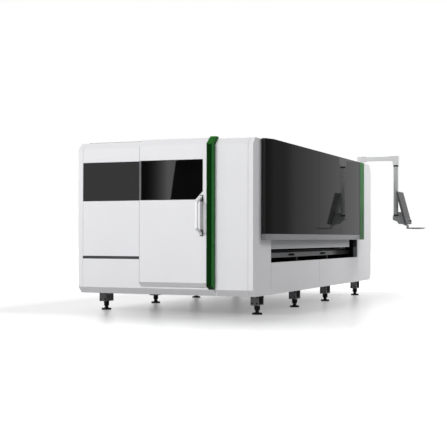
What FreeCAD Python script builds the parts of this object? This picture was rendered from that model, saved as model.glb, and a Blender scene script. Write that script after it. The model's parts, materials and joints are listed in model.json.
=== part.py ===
import FreeCAD, Part
import math
import os
import Sketcher
from FreeCAD import Placement, Rotation, Vector

# Fiber laser cutting machine: a closed cabin over a welded bed, with a sliding door at one end, a lifting
# loading cover along one side, a gantry with a cutting head inside and a swivelling console at the far end.
# Millimetres. +X points to the loading side, +Y away from the door end, +Z up; the floor is z = 0.

DOC = FreeCAD.newDocument("fiber_laser_cutting_machine")
SHEET = DOC.addObject("Spreadsheet::Sheet", "Sizes")
NODES = []


class Length:
    """A size that keeps its number and the spreadsheet expression that drives it."""

    def __init__(self, value, text):
        self.value = value
        self.text = text

    def __add__(self, other):
        other = as_length(other)
        return Length(self.value + other.value, f"({self.text} + {other.text})")

    def __sub__(self, other):
        other = as_length(other)
        return Length(self.value - other.value, f"({self.text} - {other.text})")

    def __mul__(self, factor):
        factor = as_length(factor)
        return Length(self.value * factor.value, f"{self.text} * {factor.text}")

    def __truediv__(self, factor):
        factor = as_length(factor)
        return Length(self.value / factor.value, f"{self.text} / {factor.text}")

    def __radd__(self, other):
        return as_length(other) + self

    def __rsub__(self, other):
        return as_length(other) - self

    def __rmul__(self, factor):
        return as_length(factor) * self

    def __neg__(self):
        return as_length(0) - self


def as_length(size):
    return size if isinstance(size, Length) else Length(float(size), f"({float(size):g})")


def cell(alias, value, note):
    """Writes one driving size to the sheet and gives it back."""
    row = cell.row = getattr(cell, "row", 0) + 1
    SHEET.set(f"A{row}", alias)
    SHEET.set(f"B{row}", str(value))
    SHEET.set(f"C{row}", note)
    SHEET.setAlias(f"B{row}", alias)
    return Length(float(value), f"Sizes.{alias}")


# ---- driving sizes -------------------------------------------------------------------------------------

body_width = cell("BodyWidth", 2220, "left wall to right wall")
body_length = cell("BodyLength", 5230, "door end to far end")
roof_top = cell("RoofTop", 2000, "roof above the floor")
body_bottom = cell("BodyBottom", 224, "lower edge of the walls")
slope = cell("EdgeSlope", 74, "45 degree slopes along the top and bottom of the ends")
skin = cell("SkinThick", 3, "sheet steel of the cabin")
corner_flange = cell("CornerFlange", 60, "side wall folded round onto the door end")
panel_gap = cell("PanelGap", 2, "open seam between neighbouring panels")
bend_inset = cell("BendInset", 0.4142, "tangent of half a 45 degree fold")

door_left = cell("DoorLeft", 1381, "door's left edge from the right wall")
door_bottom = cell("DoorBottom", 373, "door's lower front edge")
door_proud = cell("DoorProud", 60, "door in front of the door end")
door_rise = cell("DoorRise", 9, "door's top above the roof")
door_gap = cell("DoorGap", 8, "air between the door and the wall behind it")
door_hood = cell("DoorHood", 100, "how far the door's top reaches back over the roof")
handle_reach = cell("HandleReach", 160, "handle in front of the door")
handle_from_right = cell("HandleFromRight", 594, "handle's middle from the right wall")
handle_low = cell("HandleLow", 900, "lower end of the handle")
handle_high = cell("HandleHigh", 1360, "upper end of the handle")
handle_mount = cell("HandleMount", 46, "height of a handle foot")
handle_width = cell("HandleWidth", 28, "width of the handle's bar")
handle_bar = cell("HandleBar", 26, "thickness of the handle's bar")
handle_ramp = cell("HandleRamp", 75, "height of the bar's slanted ends")
handle_foot = cell("HandleFoot", 12, "depth of a handle foot")

window_low = cell("WindowLow", 1309, "lower edge of both windows")
window_high = cell("WindowHigh", 1764, "upper edge of both windows")
door_window_left = cell("DoorWindowLeft", 1359, "from the right wall")
door_window_right = cell("DoorWindowRight", 581, "from the right wall")
window_cut = cell("WindowCut", 92, "the door window's cut corner")
left_window_right = cell("LeftWindowRight", 1400, "from the right wall")
window_lap = cell("WindowLap", 14, "pane behind its sheet all round")
pane_thick = cell("PaneThick", 4, "dark panes")

trim_left = cell("TrimLeft", 531, "green bar's left side from the right wall")
trim_right = cell("TrimRight", 460, "green bar's right side from the right wall")
trim_proud = cell("TrimProud", 88, "green bar in front of the door end")
trim_rise = cell("TrimRise", 26, "green bar above the roof")
trim_bottom = cell("TrimBottom", 345, "green bar's lower front edge")
trim_back = cell("TrimBack", 110, "green bar's reach back over the roof")
trim_bevel = cell("TrimBevel", 14, "bevel along the green bar's front edges")

doorway_left = cell("DoorwayLeft", 1300, "doorway behind the door, from the right wall")
doorway_right = cell("DoorwayRight", 560, "from the right wall")
doorway_low = cell("DoorwayLow", 700, "sill of the doorway")
doorway_high = cell("DoorwayHigh", 1860, "head of the doorway")
lower_panel_top = cell("LowerPanelTop", 632, "top of the lower left panel")
shadow_gap = cell("ShadowGap", 33, "dark gap above the lower left panel")
lower_panel_right = cell("LowerPanelRight", 1330, "from the right wall")

near_wall = cell("NearWall", 583, "door end to the loading opening")
far_wall = cell("FarWall", 4415, "door end to the far cabinet")
low_seam = cell("LowSeam", 2487, "seam between the two low side panels")
slot_low = cell("SlotLow", 593, "sill of the loading opening")
slot_high = cell("SlotHigh", 880, "head of the slot where the opening is longest")
opening_far = cell("OpeningFar", 4150, "far edge of the opening above the slot")
opening_high = cell("OpeningHigh", 1850, "head of the opening")
wall_return = cell("WallReturn", 40, "inward flange along a panel's edge")

cover_near = cell("CoverNear", 250, "near end of the cover")
cover_far = cell("CoverFar", 4413, "far end of the cover")
cover_proud = cell("CoverProud", 100, "cover in front of the side wall")
cover_step = cell("CoverStep", 50, "depth of the cover's square near end")
cover_taper = cell("CoverTaper", 150, "length of the slanted face behind it")
cover_gap = cell("CoverGap", 4, "air between the cover and the wall")
cover_low = cell("CoverLow", 857, "lower edge of the cover's rail")
pane_low = cell("PaneLow", 925, "lower edge of the cover's panes")
cover_high = cell("CoverHigh", 2006, "top of the cover")
pane_near_seam = cell("PaneNearSeam", 1124, "first seam between panes")
pane_pitch = cell("PanePitch", 1022, "seam to seam")
strip_proud = cell("StripProud", 4, "green strip on the panes")
skirt_far = cell("SkirtFar", 4056, "far end of the skirt behind the rail")
skirt_low = cell("SkirtLow", 749, "lower edge of the skirt")
skirt_inset = cell("SkirtInset", 30, "skirt behind the wall's outer face")
cover_tube = cell("CoverTube", 30, "square tube of the cover's frame")
guide_wide = cell("GuideWide", 28, "guide rails of the cover")
guide_deep = cell("GuideDeep", 20, "guide rails of the cover")
guide_first = cell("GuideFirst", 530, "first guide rail from the door end")
guide_second = cell("GuideSecond", 4290, "second guide rail from the door end")

cabinet_rise = cell("CabinetRise", 37, "far cabinet's top above the roof")
cabinet_round = cell("CabinetRound", 170, "far cabinet's round top edge")
rear_door_width = cell("RearDoorWidth", 900, "one far cabinet door")
rear_door_low = cell("RearDoorLow", 340, "lower edge of the far doors")
rear_door_high = cell("RearDoorHigh", 1800, "upper edge of the far doors")
rear_door_thick = cell("RearDoorThick", 22, "folded depth of a far door")
rear_reach = cell("RearReach", 60, "door levers behind the far end")
gland_inset = cell("GlandInset", 110, "supply gland from the side wall")
gland_height = cell("GlandHeight", 420, "supply gland above the floor")
gland_bore = cell("GlandBore", 11, "radius of the supply gland's bore")
gland_length = cell("GlandLength", 26, "supply gland behind the cabinet")
hinge_radius = cell("HingeRadius", 7, "knuckles of the far doors' hinges")

foot_inset = cell("FootInset", 125, "feet from the side walls")
foot_first = cell("FootFirst", 462, "first pair of feet from the door end")
foot_second = cell("FootSecond", 1812, "second pair")
foot_third = cell("FootThird", 3152, "third pair")
foot_fourth = cell("FootFourth", 4735, "fourth pair")
foot_disc = cell("FootDisc", 59, "radius of a foot's disc")
foot_disc_high = cell("FootDiscHigh", 20, "thickness of a foot's disc")
foot_stem = cell("FootStem", 14, "radius of a foot's stem")
foot_stem_top = cell("FootStemTop", 190, "top of a foot's stem")
nut_low = cell("NutLow", 44, "lower side of a lock nut")
nut_radius = cell("NutRadius", 36, "lock nut across its corners, halved")
nut_taper = cell("NutTaper", 14, "height of the cone under a lock nut")
leg_low = cell("LegLow", 106, "lower side of a leg block")
leg_wide = cell("LegWide", 95, "leg block across the machine")
leg_long = cell("LegLong", 180, "leg block along the machine")

sill_low = cell("SillLow", 240, "lower side of the bed's lower beams")
sill_high = cell("SillHigh", 330, "upper side of the bed's lower beams")
sill_wide = cell("SillWide", 100, "width of the bed's lower beams")
bed_low = cell("BedLow", 642, "lower side of the bed's upper beams")
bed_high = cell("BedHigh", 701, "upper side of the bed's upper beams")
bed_outer = cell("BedOuter", 100, "upper beam's outer face from the wall")
bed_inner = cell("BedInner", 220, "upper beam's inner face from the wall")
bed_wall = cell("BedWall", 6, "wall of the bed's upper beams")
bed_near = cell("BedNear", 380, "bed's near end from the door end")
bed_far = cell("BedFar", 4360, "far end of the upper beams from the door end")
post_wide = cell("PostWide", 80, "bed posts")

rail_wide = cell("RailWide", 24, "travel rails")
rail_high = cell("RailHigh", 26, "travel rails")
table_frame_low = cell("TableFrameLow", 640, "underside of the table's frame")
table_frame_high = cell("TableFrameHigh", 700, "top of the table's frame")
slat_tip = cell("SlatTip", 800, "tips of the cutting slats")
slat_tooth = cell("SlatTooth", 26, "depth of the teeth")
slat_thick = cell("SlatThick", 5, "slat plate")
slat_count = cell("SlatCount", 27, "number of slats")
tooth_count = cell("ToothCount", 20, "teeth on a slat")
table_near = cell("TableNear", 560, "table's near end from the door end")
table_far = cell("TableFar", 3700, "table's far end from the door end")
table_inset = cell("TableInset", 345, "table's sides from the walls")

gantry_home = cell("GantryHome", 4010, "middle of the beam at home, from the door end")
beam_low = cell("BeamLow", 880, "underside of the gantry beam")
beam_high = cell("BeamHigh", 1060, "top of the gantry beam")
beam_deep = cell("BeamDeep", 160, "gantry beam along the machine")
beam_wall = cell("BeamWall", 8, "wall of the gantry beam")
end_wide = cell("EndWide", 90, "gantry end block across the machine")
carriage_home = cell("CarriageHome", 440, "carriage's middle from the right wall")
carriage_wide = cell("CarriageWide", 260, "carriage plate")
carriage_high = cell("CarriageHigh", 1240, "top of the carriage plate")
plate_thick = cell("PlateThick", 15, "carriage and slide plates")
beam_rail_deep = cell("BeamRailDeep", 30, "beam rail and its blocks")
motor_wide = cell("MotorWide", 90, "servo motor across its flats")
travel_motor_long = cell("TravelMotorLong", 110, "travel motor behind its bracket")
pinion_radius = cell("PinionRadius", 30, "pitch circle of the pinions")
shaft_radius = cell("ShaftRadius", 8, "shafts of the pinions")
mesh_gap = cell("MeshGap", 0.5, "backlash between pinion and rack")
nozzle_tip = cell("NozzleTip", 935, "nozzle's tip at rest")
screw_radius = cell("ScrewRadius", 8, "ball screw")

pendant_reach = cell("PendantReach", 939, "console tray beyond the right wall")
pendant_from_front = cell("PendantFromFront", 4736, "console's middle from the door end")
arm_low = cell("ArmLow", 2061, "underside of the console's arm")
arm_high = cell("ArmHigh", 2121, "top of the console's arm")
arm_wide = cell("ArmWide", 50, "arm along the machine")
pivot_pin = cell("PivotPin", 12, "radius of the arm's pivot pin")
pivot_out = cell("PivotOut", 32, "arm's pivot beyond the right wall")
post_out = cell("PostOut", 516, "hanging post beyond the right wall")
post_radius = cell("PostRadius", 36, "hanging post")
collar_high = cell("CollarHigh", 1989, "top of the post's collar")
collar_low = cell("CollarLow", 1964, "underside of the post's collar")
post_low = cell("PostLow", 1213, "lower end of the post")
ring_high = cell("RingHigh", 1238, "top of the ring at the post's lower end")
lean = cell("ScreenLean", 15.2, "degrees the screen leans back")
screen_low_out = cell("ScreenLowOut", 720, "screen housing's lower front edge beyond the right wall")
screen_low = cell("ScreenLow", 1098, "its height")
screen_tall = cell("ScreenTall", 500, "housing along its slope")
screen_wide = cell("ScreenWide", 370, "housing along the machine")
screen_thick = cell("ScreenThick", 34, "housing front to back")
tray_low = cell("TrayLow", 1019, "underside of the keyboard tray")
tray_thick = cell("TrayThick", 20, "keyboard tray's folded edge")
tray_sheet = cell("TraySheet", 3, "keyboard tray's sheet")
tray_wide = cell("TrayWide", 320, "keyboard tray along the machine")
tray_hinge_out = cell("TrayHingeOut", 700, "tray's hinge beyond the right wall")
tray_drop = cell("TrayDrop", 25, "tray's hinge above its underside")
hinge_pin = cell("HingePin", 3, "radius of the tray's hinge pin")
box_half = cell("BoxHalf", 36, "half the width of the console's folded box")
strut_half = cell("StrutHalf", 8, "half the thickness of the strut behind the screen")
strut_leg = cell("StrutLeg", 8, "strut between its window and the screen")
strut_high = cell("StrutHigh", 1520, "top of the strut")
window_foot = cell("StrutWindowLow", 1277, "lower edge of the strut's window")
window_top = cell("StrutWindowHigh", 1510, "upper edge of the strut's window")
screen_gap = cell("ScreenGap", 0.5, "strut to screen housing")

DOC.recompute()

# ---- places worked out from them -----------------------------------------------------------------------

right = (body_width - pendant_reach) / 2
left = right - body_width
front = (door_proud + handle_reach - body_length - rear_reach) / 2
back = front + body_length
rail_centre = (bed_outer + bed_inner) / 2


# ---- ways to make a solid ------------------------------------------------------------------------------

def bind(thing, name, size):
    thing.setExpression(name, as_length(size).text)


def place(thing, x, y, z):
    bind(thing, "Placement.Base.x", x)
    bind(thing, "Placement.Base.y", y)
    bind(thing, "Placement.Base.z", z)
    return thing


def block(x, y, z):
    """A box between two planes on each axis."""
    solid = DOC.addObject("Part::Box", "Block")
    for name, (low, high) in zip(("Length", "Width", "Height"), (x, y, z)):
        bind(solid, name, high - low)
    return place(solid, x[0], y[0], z[0])


TURNS = {
    "x": Rotation(Vector(0, 1, 0), 90),
    "y": Rotation(Vector(1, 0, 0), -90),
    "z": Rotation(),
}


def rod(start, radius, length, axis="z"):
    """A cylinder from its start point along an axis."""
    solid = DOC.addObject("Part::Cylinder", "Rod")
    bind(solid, "Radius", radius)
    bind(solid, "Height", length)
    solid.Placement = Placement(Vector(), TURNS[axis])
    return place(solid, *start)


def taper(start, low_radius, high_radius, length):
    """An upright cone."""
    solid = DOC.addObject("Part::Cone", "Taper")
    bind(solid, "Radius1", low_radius)
    bind(solid, "Radius2", high_radius)
    bind(solid, "Height", length)
    return place(solid, *start)


def fused(*solids):
    whole = DOC.addObject("Part::MultiFuse", "Fused")
    whole.Shapes = list(solids)
    whole.Refine = True
    return whole


def group(*solids):
    """Separate solids kept together."""
    kept = DOC.addObject("Part::Compound", "Group")
    kept.Links = list(solids)
    return kept


def cut(base, *tools):
    result = DOC.addObject("Part::Cut", "Cut")
    result.Base = base
    result.Tool = tools[0] if len(tools) == 1 else fused(*tools)
    result.Refine = True
    return result


def sketch_loop(sketch, corners):
    """Adds a closed outline, each corner tied to its own sizes."""
    first = sketch.GeometryCount
    count = len(corners)
    points = [Vector(as_length(u).value, as_length(v).value, 0) for u, v in corners]
    for index in range(count):
        sketch.addGeometry(Part.LineSegment(points[index], points[(index + 1) % count]), False)
    for index in range(count):
        sketch.addConstraint(
            Sketcher.Constraint("Coincident", first + index, 2, first + (index + 1) % count, 1)
        )
    for index, corner in enumerate(corners):
        for kind, size in zip(("DistanceX", "DistanceY"), corner):
            size = as_length(size)
            row = sketch.addConstraint(
                Sketcher.Constraint(kind, -1, 1, first + index, 1, size.value)
            )
            name = f"{kind}{first + index}"
            sketch.renameConstraint(row, name)
            sketch.setExpression(f"Constraints.{name}", size.text)


def prism(plane, corners, low, high, holes=()):
    """An outline in one of the main planes, drawn out between two levels of the third axis."""
    body = DOC.addObject("PartDesign::Body", "Body")
    origin_plane = next(o for o in body.Origin.OriginFeatures if o.Role == f"{plane}_Plane")
    sketch = body.newObject("Sketcher::SketchObject", "Outline")
    sketch.AttachmentSupport = (origin_plane, [""])
    sketch.MapMode = "FlatFace"
    for loop in (corners, *holes):
        sketch_loop(sketch, loop)
    pad = body.newObject("PartDesign::Pad", "Pad")
    pad.Profile = sketch
    bind(pad, "Length", high - low)
    if plane == "XZ":
        # This plane's normal points to -Y.
        pad.Reversed = True
        bind(sketch, "AttachmentOffset.Base.z", -low)
    else:
        bind(sketch, "AttachmentOffset.Base.z", low)
    return body


def rectangle(u, v):
    return [(u[0], v[0]), (u[1], v[0]), (u[1], v[1]), (u[0], v[1])]


def node(name, thing):
    thing.Label = name
    NODES.append(thing)
    return thing


def mirror_x(across):
    """The same distance from the left wall as across is from the right one."""
    return left + right - across


# ---- bed and feet --------------------------------------------------------------------------------------

FOOT_ROWS = [front + foot_first, front + foot_second, front + foot_third, front + foot_fourth]
FOOT_COLUMNS = [right - foot_inset, left + foot_inset]
HEXAGON_FLAT = 0.866


def levelling_feet():
    feet = []
    nuts = []
    for x in FOOT_COLUMNS:
        for y in FOOT_ROWS:
            disc = rod((x, y, 0), foot_disc, foot_disc_high)
            hub = taper((x, y, foot_disc_high), foot_disc / 2, foot_stem * 1.4, foot_disc_high)
            stem = rod((x, y, foot_disc_high), foot_stem, foot_stem_top - foot_disc_high)
            feet.append(fused(disc, hub, stem))
            nuts.append(lock_nut(x, y))
    node("levelling_feet", group(*feet))
    node("foot_lock_nuts", group(*nuts))


def lock_nut(x, y):
    """A tall nut tight against the leg block: a hexagon that narrows to a cone at its lower end."""
    hexagon = DOC.addObject("Part::Prism", "Hexagon")
    hexagon.Polygon = 6
    bind(hexagon, "Circumradius", nut_radius)
    bind(hexagon, "Height", leg_low - nut_low - nut_taper)
    place(hexagon, x, y, nut_low + nut_taper)
    cone = taper((x, y, nut_low), foot_stem * 1.8, nut_radius * HEXAGON_FLAT, nut_taper)
    return cut(fused(hexagon, cone), rod((x, y, nut_low), foot_stem + 0.05, leg_low - nut_low))


def bed_beam(side):
    """Upper beam of one side: a square tube with slotted holes through its outer wall."""
    edges = (right - bed_inner, right - bed_outer)
    inside = (edges[0] + bed_wall, edges[1] - bed_wall)
    outer_wall = (edges[1] - 2 * bed_wall, edges[1] + bed_wall)
    if side == "left":
        edges = (mirror_x(edges[1]), mirror_x(edges[0]))
        inside = (mirror_x(inside[1]), mirror_x(inside[0]))
        outer_wall = (mirror_x(outer_wall[1]), mirror_x(outer_wall[0]))
    span = (front + bed_near, front + bed_far)
    beam = block(edges, span, (bed_low, bed_high))
    hollow = block(inside, span, (bed_low + bed_wall, bed_high - bed_wall))
    slots = []
    hole_length = 240
    hole_high = 26
    middle = (bed_low + bed_high) / 2
    for start in (1490, 2830):
        along = (front + start, front + start + hole_length)
        slots.append(block(outer_wall, along, (middle - hole_high / 2, middle + hole_high / 2)))
    return cut(beam, hollow, *slots)


def bed():
    parts = [bed_beam("right"), bed_beam("left")]
    sills = [front + 80, back - 80]
    for x in FOOT_COLUMNS:
        parts.append(block((x - sill_wide / 2, x + sill_wide / 2), sills, (sill_low, sill_high)))
        across = (x - leg_wide / 2, x + leg_wide / 2)
        for y in FOOT_ROWS:
            parts.append(block(across, (y - leg_long / 2, y + leg_long / 2), (leg_low, sill_low)))
    inner_right = right - foot_inset - sill_wide / 2
    inner_left = left + foot_inset + sill_wide / 2
    for y in FOOT_ROWS:
        along = (y - post_wide / 2, y + post_wide / 2)
        parts.append(block((inner_left, inner_right), along, (sill_low, sill_high)))
    post_right = (right - foot_inset - sill_wide / 2, right - foot_inset - sill_wide / 2 + post_wide)
    post_left = (mirror_x(post_right[1]), mirror_x(post_right[0]))
    for y in FOOT_ROWS[:3]:
        along = (y - post_wide / 2, y + post_wide / 2)
        for across in (post_right, post_left):
            parts.append(block(across, along, (sill_high, bed_low)))
        cross_z = (table_frame_low - post_wide, table_frame_low)
        parts.append(block((post_left[1], post_right[0]), along, cross_z))
    stems = [
        rod((x, y, leg_low), foot_stem, foot_stem_top + 6 - leg_low)
        for x in FOOT_COLUMNS
        for y in FOOT_ROWS
    ]
    node("bed_frame", cut(fused(*parts), *stems))


def travel_track():
    """Two linear rails and two racks on top of the bed's upper beams."""
    span = (front + bed_near + 20, front + bed_far - 20)
    rails = []
    racks = []
    for side in ("right", "left"):
        rail = (right - rail_centre - rail_wide / 2, right - rail_centre + rail_wide / 2)
        rack = (right - bed_inner + 4, right - bed_inner + 4 + rail_wide)
        if side == "left":
            rail = (mirror_x(rail[1]), mirror_x(rail[0]))
            rack = (mirror_x(rack[1]), mirror_x(rack[0]))
        rails.append(block(rail, span, (bed_high, bed_high + rail_high)))
        racks.append(block(rack, span, (bed_high, bed_high + rail_high)))
    node("travel_track", group(*rails, *racks))


# ---- table and scrap tray ------------------------------------------------------------------------------

def table():
    x = (left + table_inset, right - table_inset)
    y = (front + table_near, front + table_far)
    z = (table_frame_low, table_frame_high)
    frame = block(x, y, z)
    rim = 60
    bays = 3
    bay = (y[1] - y[0] - rim * (bays + 1)) / bays
    holes = []
    for index in range(bays):
        near = y[0] + rim + (bay + rim) * index
        holes.append(block((x[0] + rim, x[1] - rim), (near, near + bay), z))
    node("table_frame", cut(frame, *holes))

    pitch = (y[1] - y[0] - 2 * rim) / (slat_count - 1)
    plates = []
    for index in range(int(slat_count.value)):
        middle = y[0] + rim + pitch * index
        across = (x[0] + 10, x[1] - 10)
        along = (middle - slat_thick / 2, middle + slat_thick / 2)
        plates.append(block(across, along, (table_frame_high, slat_tip)))
    teeth = int(tooth_count.value)
    tooth = (x[1] - x[0] - 20) / tooth_count
    zigzag = [(x[0], slat_tip + 10), (x[0], slat_tip - slat_tooth)]
    for index in range(teeth):
        zigzag.append((x[0] + 10 + tooth * (index + 0.5), slat_tip - 1))
        zigzag.append((x[0] + 10 + tooth * (index + 1), slat_tip - slat_tooth))
    zigzag.append((x[1], slat_tip - slat_tooth))
    zigzag.append((x[1], slat_tip + 10))
    teeth_cutter = prism("XZ", zigzag, y[0], y[1])
    node("cutting_slats", cut(group(*plates), teeth_cutter))


def scrap_tray():
    """An open sheet tray that catches offcuts under the table, standing on the bed's cross members."""
    x = (left + foot_inset + 130, right - foot_inset - 130)
    y = (front + table_near + 20, front + table_far - 20)
    z = (sill_high, 520)
    wall = 4
    tray = block(x, y, z)
    hollow = block((x[0] + wall, x[1] - wall), (y[0] + wall, y[1] - wall), (z[0] + wall, z[1]))
    node("scrap_tray", cut(tray, hollow))


# ---- door end ------------------------------------------------------------------------------------------

def slope_outline(top_flange):
    """Folded sheet of an end in the YZ plane, outer side first."""
    fold = skin * bend_inset
    inner = front + skin
    return [
        (front + slope, body_bottom),
        (front, body_bottom + slope),
        (front, roof_top - slope),
        (front + slope, roof_top),
        (front + top_flange, roof_top),
        (front + top_flange, roof_top - skin),
        (front + slope + fold, roof_top - skin),
        (inner, roof_top - slope - fold),
        (inner, body_bottom + slope + fold),
        (front + slope, body_bottom + fold + skin),
    ]


def lower_outline(top):
    """The folded sheet below a given height."""
    fold = skin * bend_inset
    return [
        (front + slope, body_bottom),
        (front, body_bottom + slope),
        (front, top),
        (front + skin, top),
        (front + skin, body_bottom + slope + fold),
        (front + slope, body_bottom + fold + skin),
    ]


def front_panels():
    flange = 150
    outer_left = left + corner_flange + panel_gap
    outer_right = right - trim_right - panel_gap * 2
    sheet = prism("YZ", slope_outline(flange), outer_left, outer_right)
    through = (front - 5, front + 20)
    window = block((outer_left, right - left_window_right), through, (window_low, window_high))
    doorway = block((right - doorway_left, right - doorway_right), through, (doorway_low, doorway_high))
    below = block(
        (outer_left - 5, right - lower_panel_right + panel_gap),
        (front - 5, front + slope + 5),
        (body_bottom - 5, lower_panel_top + shadow_gap),
    )
    guide_slot = block(
        (right - lower_panel_right, right - doorway_right + 10),
        through,
        (lower_panel_top, lower_panel_top + shadow_gap),
    )
    node("front_panel_left", cut(sheet, window, doorway, below, guide_slot))
    node(
        "front_panel_lower",
        prism("YZ", lower_outline(lower_panel_top), outer_left, right - lower_panel_right),
    )
    node(
        "front_panel_right",
        prism("YZ", slope_outline(flange), right - trim_right + panel_gap, right - corner_flange - panel_gap),
    )
    pane = block(
        (outer_left + 1, right - left_window_right + window_lap),
        (front + skin, front + skin + pane_thick),
        (window_low - window_lap, window_high + window_lap),
    )
    node("window_left", pane)


def trim_bar():
    """The green bar that the door closes against, folded back over the top of the wall."""
    x = (right - trim_left, right - trim_right)
    outline = [
        (front, body_bottom + slope),
        (front - trim_proud, trim_bottom),
        (front - trim_proud, roof_top - slope),
        (front + 35, roof_top + trim_rise),
        (front + trim_back, roof_top + trim_rise),
        (front + trim_back, roof_top),
        (front + slope, roof_top),
        (front, roof_top - slope),
    ]
    bar = prism("YZ", outline, *x)
    bevels = []
    for edge, inward in ((x[0], 1), (x[1], -1)):
        corner = [
            (edge - inward, front - trim_proud - 1),
            (edge + trim_bevel * inward, front - trim_proud - 1),
            (edge + trim_bevel * inward, front - trim_proud),
            (edge, front - trim_proud + trim_bevel),
            (edge - inward, front - trim_proud + trim_bevel),
        ]
        bevels.append(prism("XY", corner, trim_bottom - 60, roof_top - slope))
    fold = skin * bend_inset
    inside = [
        (front + 1, body_bottom + slope + skin + fold),
        (front - trim_proud + skin, trim_bottom + fold),
        (front - trim_proud + skin, roof_top - slope - fold),
        (front + 35 + fold, roof_top + trim_rise - skin),
        (front + trim_back - skin, roof_top + trim_rise - skin),
        (front + trim_back - skin, roof_top),
        (front + slope, roof_top),
        (front + 1, roof_top - slope + 1),
    ]
    wall = trim_bevel * 0.7 + skin
    hollow = prism("YZ", inside, x[0] + wall, x[1] - wall)
    node("front_trim_bar", cut(bar, *bevels, hollow))


DOOR_X = (right - door_left, right - trim_left - 4)
DOOR_FACE = front - door_proud
DOOR_TOP = roof_top + door_rise


def sliding_door():
    gap = door_gap
    outline = [
        (front - gap, door_bottom - door_proud + gap),
        (DOOR_FACE, door_bottom),
        (DOOR_FACE, DOOR_TOP - slope),
        (DOOR_FACE + slope, DOOR_TOP),
        (front + door_hood, DOOR_TOP),
        (front + door_hood, DOOR_TOP - skin),
        (front + slope - gap * bend_inset, DOOR_TOP - skin),
        (front - gap, roof_top - slope + gap * bend_inset),
    ]
    fold = skin * bend_inset
    hollow = [
        (DOOR_FACE + skin, door_bottom + fold),
        (DOOR_FACE + skin, DOOR_TOP - slope - fold),
        (DOOR_FACE + slope + fold, DOOR_TOP - skin),
        (front + door_hood + 5, DOOR_TOP - skin),
        (front + door_hood + 5, roof_top - slope),
        (front + 5, roof_top - slope),
        (front + 5, door_bottom - door_proud - 5 + skin + fold),
    ]
    shell = prism("YZ", outline, *DOOR_X)
    inside = prism("YZ", hollow, DOOR_X[0] + skin, DOOR_X[1] - skin)
    window = prism(
        "XZ",
        door_window_outline(0),
        DOOR_FACE - 5,
        DOOR_FACE + 10,
    )
    node("sliding_door", cut(shell, inside, window))
    pane = prism("XZ", door_window_outline(window_lap), DOOR_FACE + skin, DOOR_FACE + skin + pane_thick)
    node("door_window", pane)


def door_window_outline(lap):
    """A rectangle with its lower right corner cut off."""
    x = (right - door_window_left - lap, right - door_window_right + lap)
    z = (window_low - lap, window_high + lap)
    return [
        (x[0], z[0]),
        (x[1] - window_cut, z[0]),
        (x[1], z[0] + window_cut),
        (x[1], z[1]),
        (x[0], z[1]),
    ]


def door_handle():
    """A flat bar bent into a D, held by two feet screwed to the door."""
    middle = right - handle_from_right
    x = (middle - handle_width / 2, middle + handle_width / 2)
    reach = DOOR_FACE - handle_reach
    seat = DOOR_FACE - handle_foot
    low = handle_low + (handle_mount - handle_bar) / 4
    high = handle_high - (handle_mount - handle_bar) / 4
    root = handle_bar * 1.3
    bend = handle_bar * 0.6
    outline = [
        (seat, low),
        (reach, low + handle_ramp),
        (reach, high - handle_ramp),
        (seat, high),
        (seat, high - root),
        (reach + handle_bar, high - handle_ramp - bend),
        (reach + handle_bar, low + handle_ramp + bend),
        (seat, low + root),
    ]
    node("door_handle", prism("YZ", outline, *x))
    feet = []
    for low in (handle_low, handle_high - handle_mount):
        feet.append(
            block((x[0] - 4, x[1] + 4), (seat, DOOR_FACE), (low, low + handle_mount))
        )
    node("handle_mounts", group(*feet))


def door_track():
    """The rail under the door's hood, the sliders beside it and the tongues in the guide slot."""
    rail = block(
        (left + corner_flange + 40, right - doorway_right + 6),
        (front + slope + 4, front + slope + 14),
        (roof_top, roof_top + door_rise - skin - 0.5),
    )
    node("door_rails", rail)
    runners = []
    for start in (DOOR_X[0] + 40, DOOR_X[1] - 160):
        along = (start, start + 120)
        runners.append(
            block(along, (front + slope + 14.5, front + door_hood), (roof_top + 1, DOOR_TOP - skin))
        )
        runners.append(
            block(along, (DOOR_FACE + skin, front + 2), (lower_panel_top + 6, lower_panel_top + shadow_gap - 6))
        )
    node("door_runners", group(*runners))


# ---- side walls and roof -------------------------------------------------------------------------------

def wall_outline(near, far, low, high):
    """Side wall in the YZ plane; at the door end its corners follow the slopes."""
    if near is front:
        return [
            (front, low + slope),
            (front, high - slope),
            (front + slope, high),
            (far, high),
            (far, low),
            (front + slope, low),
        ]
    return rectangle((near, far), (low, high))


def near_wall_panel(side):
    """Near side wall with its flange folded round onto the door end."""
    end = front + near_wall
    wall_x = (right - skin, right)
    flange_x = (right - corner_flange, right)
    inside_x = (right - corner_flange - 5, right - skin)
    if side == "left":
        wall_x = (left, left + skin)
        flange_x = (left, left + corner_flange)
        inside_x = (left + skin, left + corner_flange + 5)
    wall = prism("YZ", wall_outline(front, end, body_bottom, roof_top), *wall_x)
    fold = prism("YZ", slope_outline(slope + 40), *flange_x)
    return fused(wall, fold)


def side_walls():
    flange = (right - wall_return, right)
    seam = panel_gap / 2
    node("side_wall_near", near_wall_panel("right"))
    panels = []
    for near, far in (
        (front + near_wall + seam, front + low_seam - seam),
        (front + low_seam + seam, front + far_wall - seam),
    ):
        sheet = block((right - skin, right), (near, far), (body_bottom, slot_low))
        top = block(flange, (near + 5, far - 75), (slot_low - skin, slot_low))
        bottom = block(flange, (near + 5, far - 75), (body_bottom, body_bottom + skin))
        panels.append(fused(sheet, top, bottom))
    node("side_panels_low", group(*panels))
    header = [
        (front + near_wall + seam, roof_top),
        (front + far_wall - seam, roof_top),
        (front + far_wall - seam, slot_high),
        (front + opening_far, slot_high),
        (front + opening_far, opening_high),
        (front + near_wall + seam, opening_high),
    ]
    node("side_header", prism("YZ", header, right - skin, right))
    middle = front + (near_wall + far_wall) / 2
    walls = [near_wall_panel("left")]
    for near, far in ((front + near_wall + seam, middle - seam), (middle + seam, front + far_wall - seam)):
        walls.append(block((left, left + skin), (near, far), (body_bottom, roof_top)))
    node("left_wall_panels", group(*walls))


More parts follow.
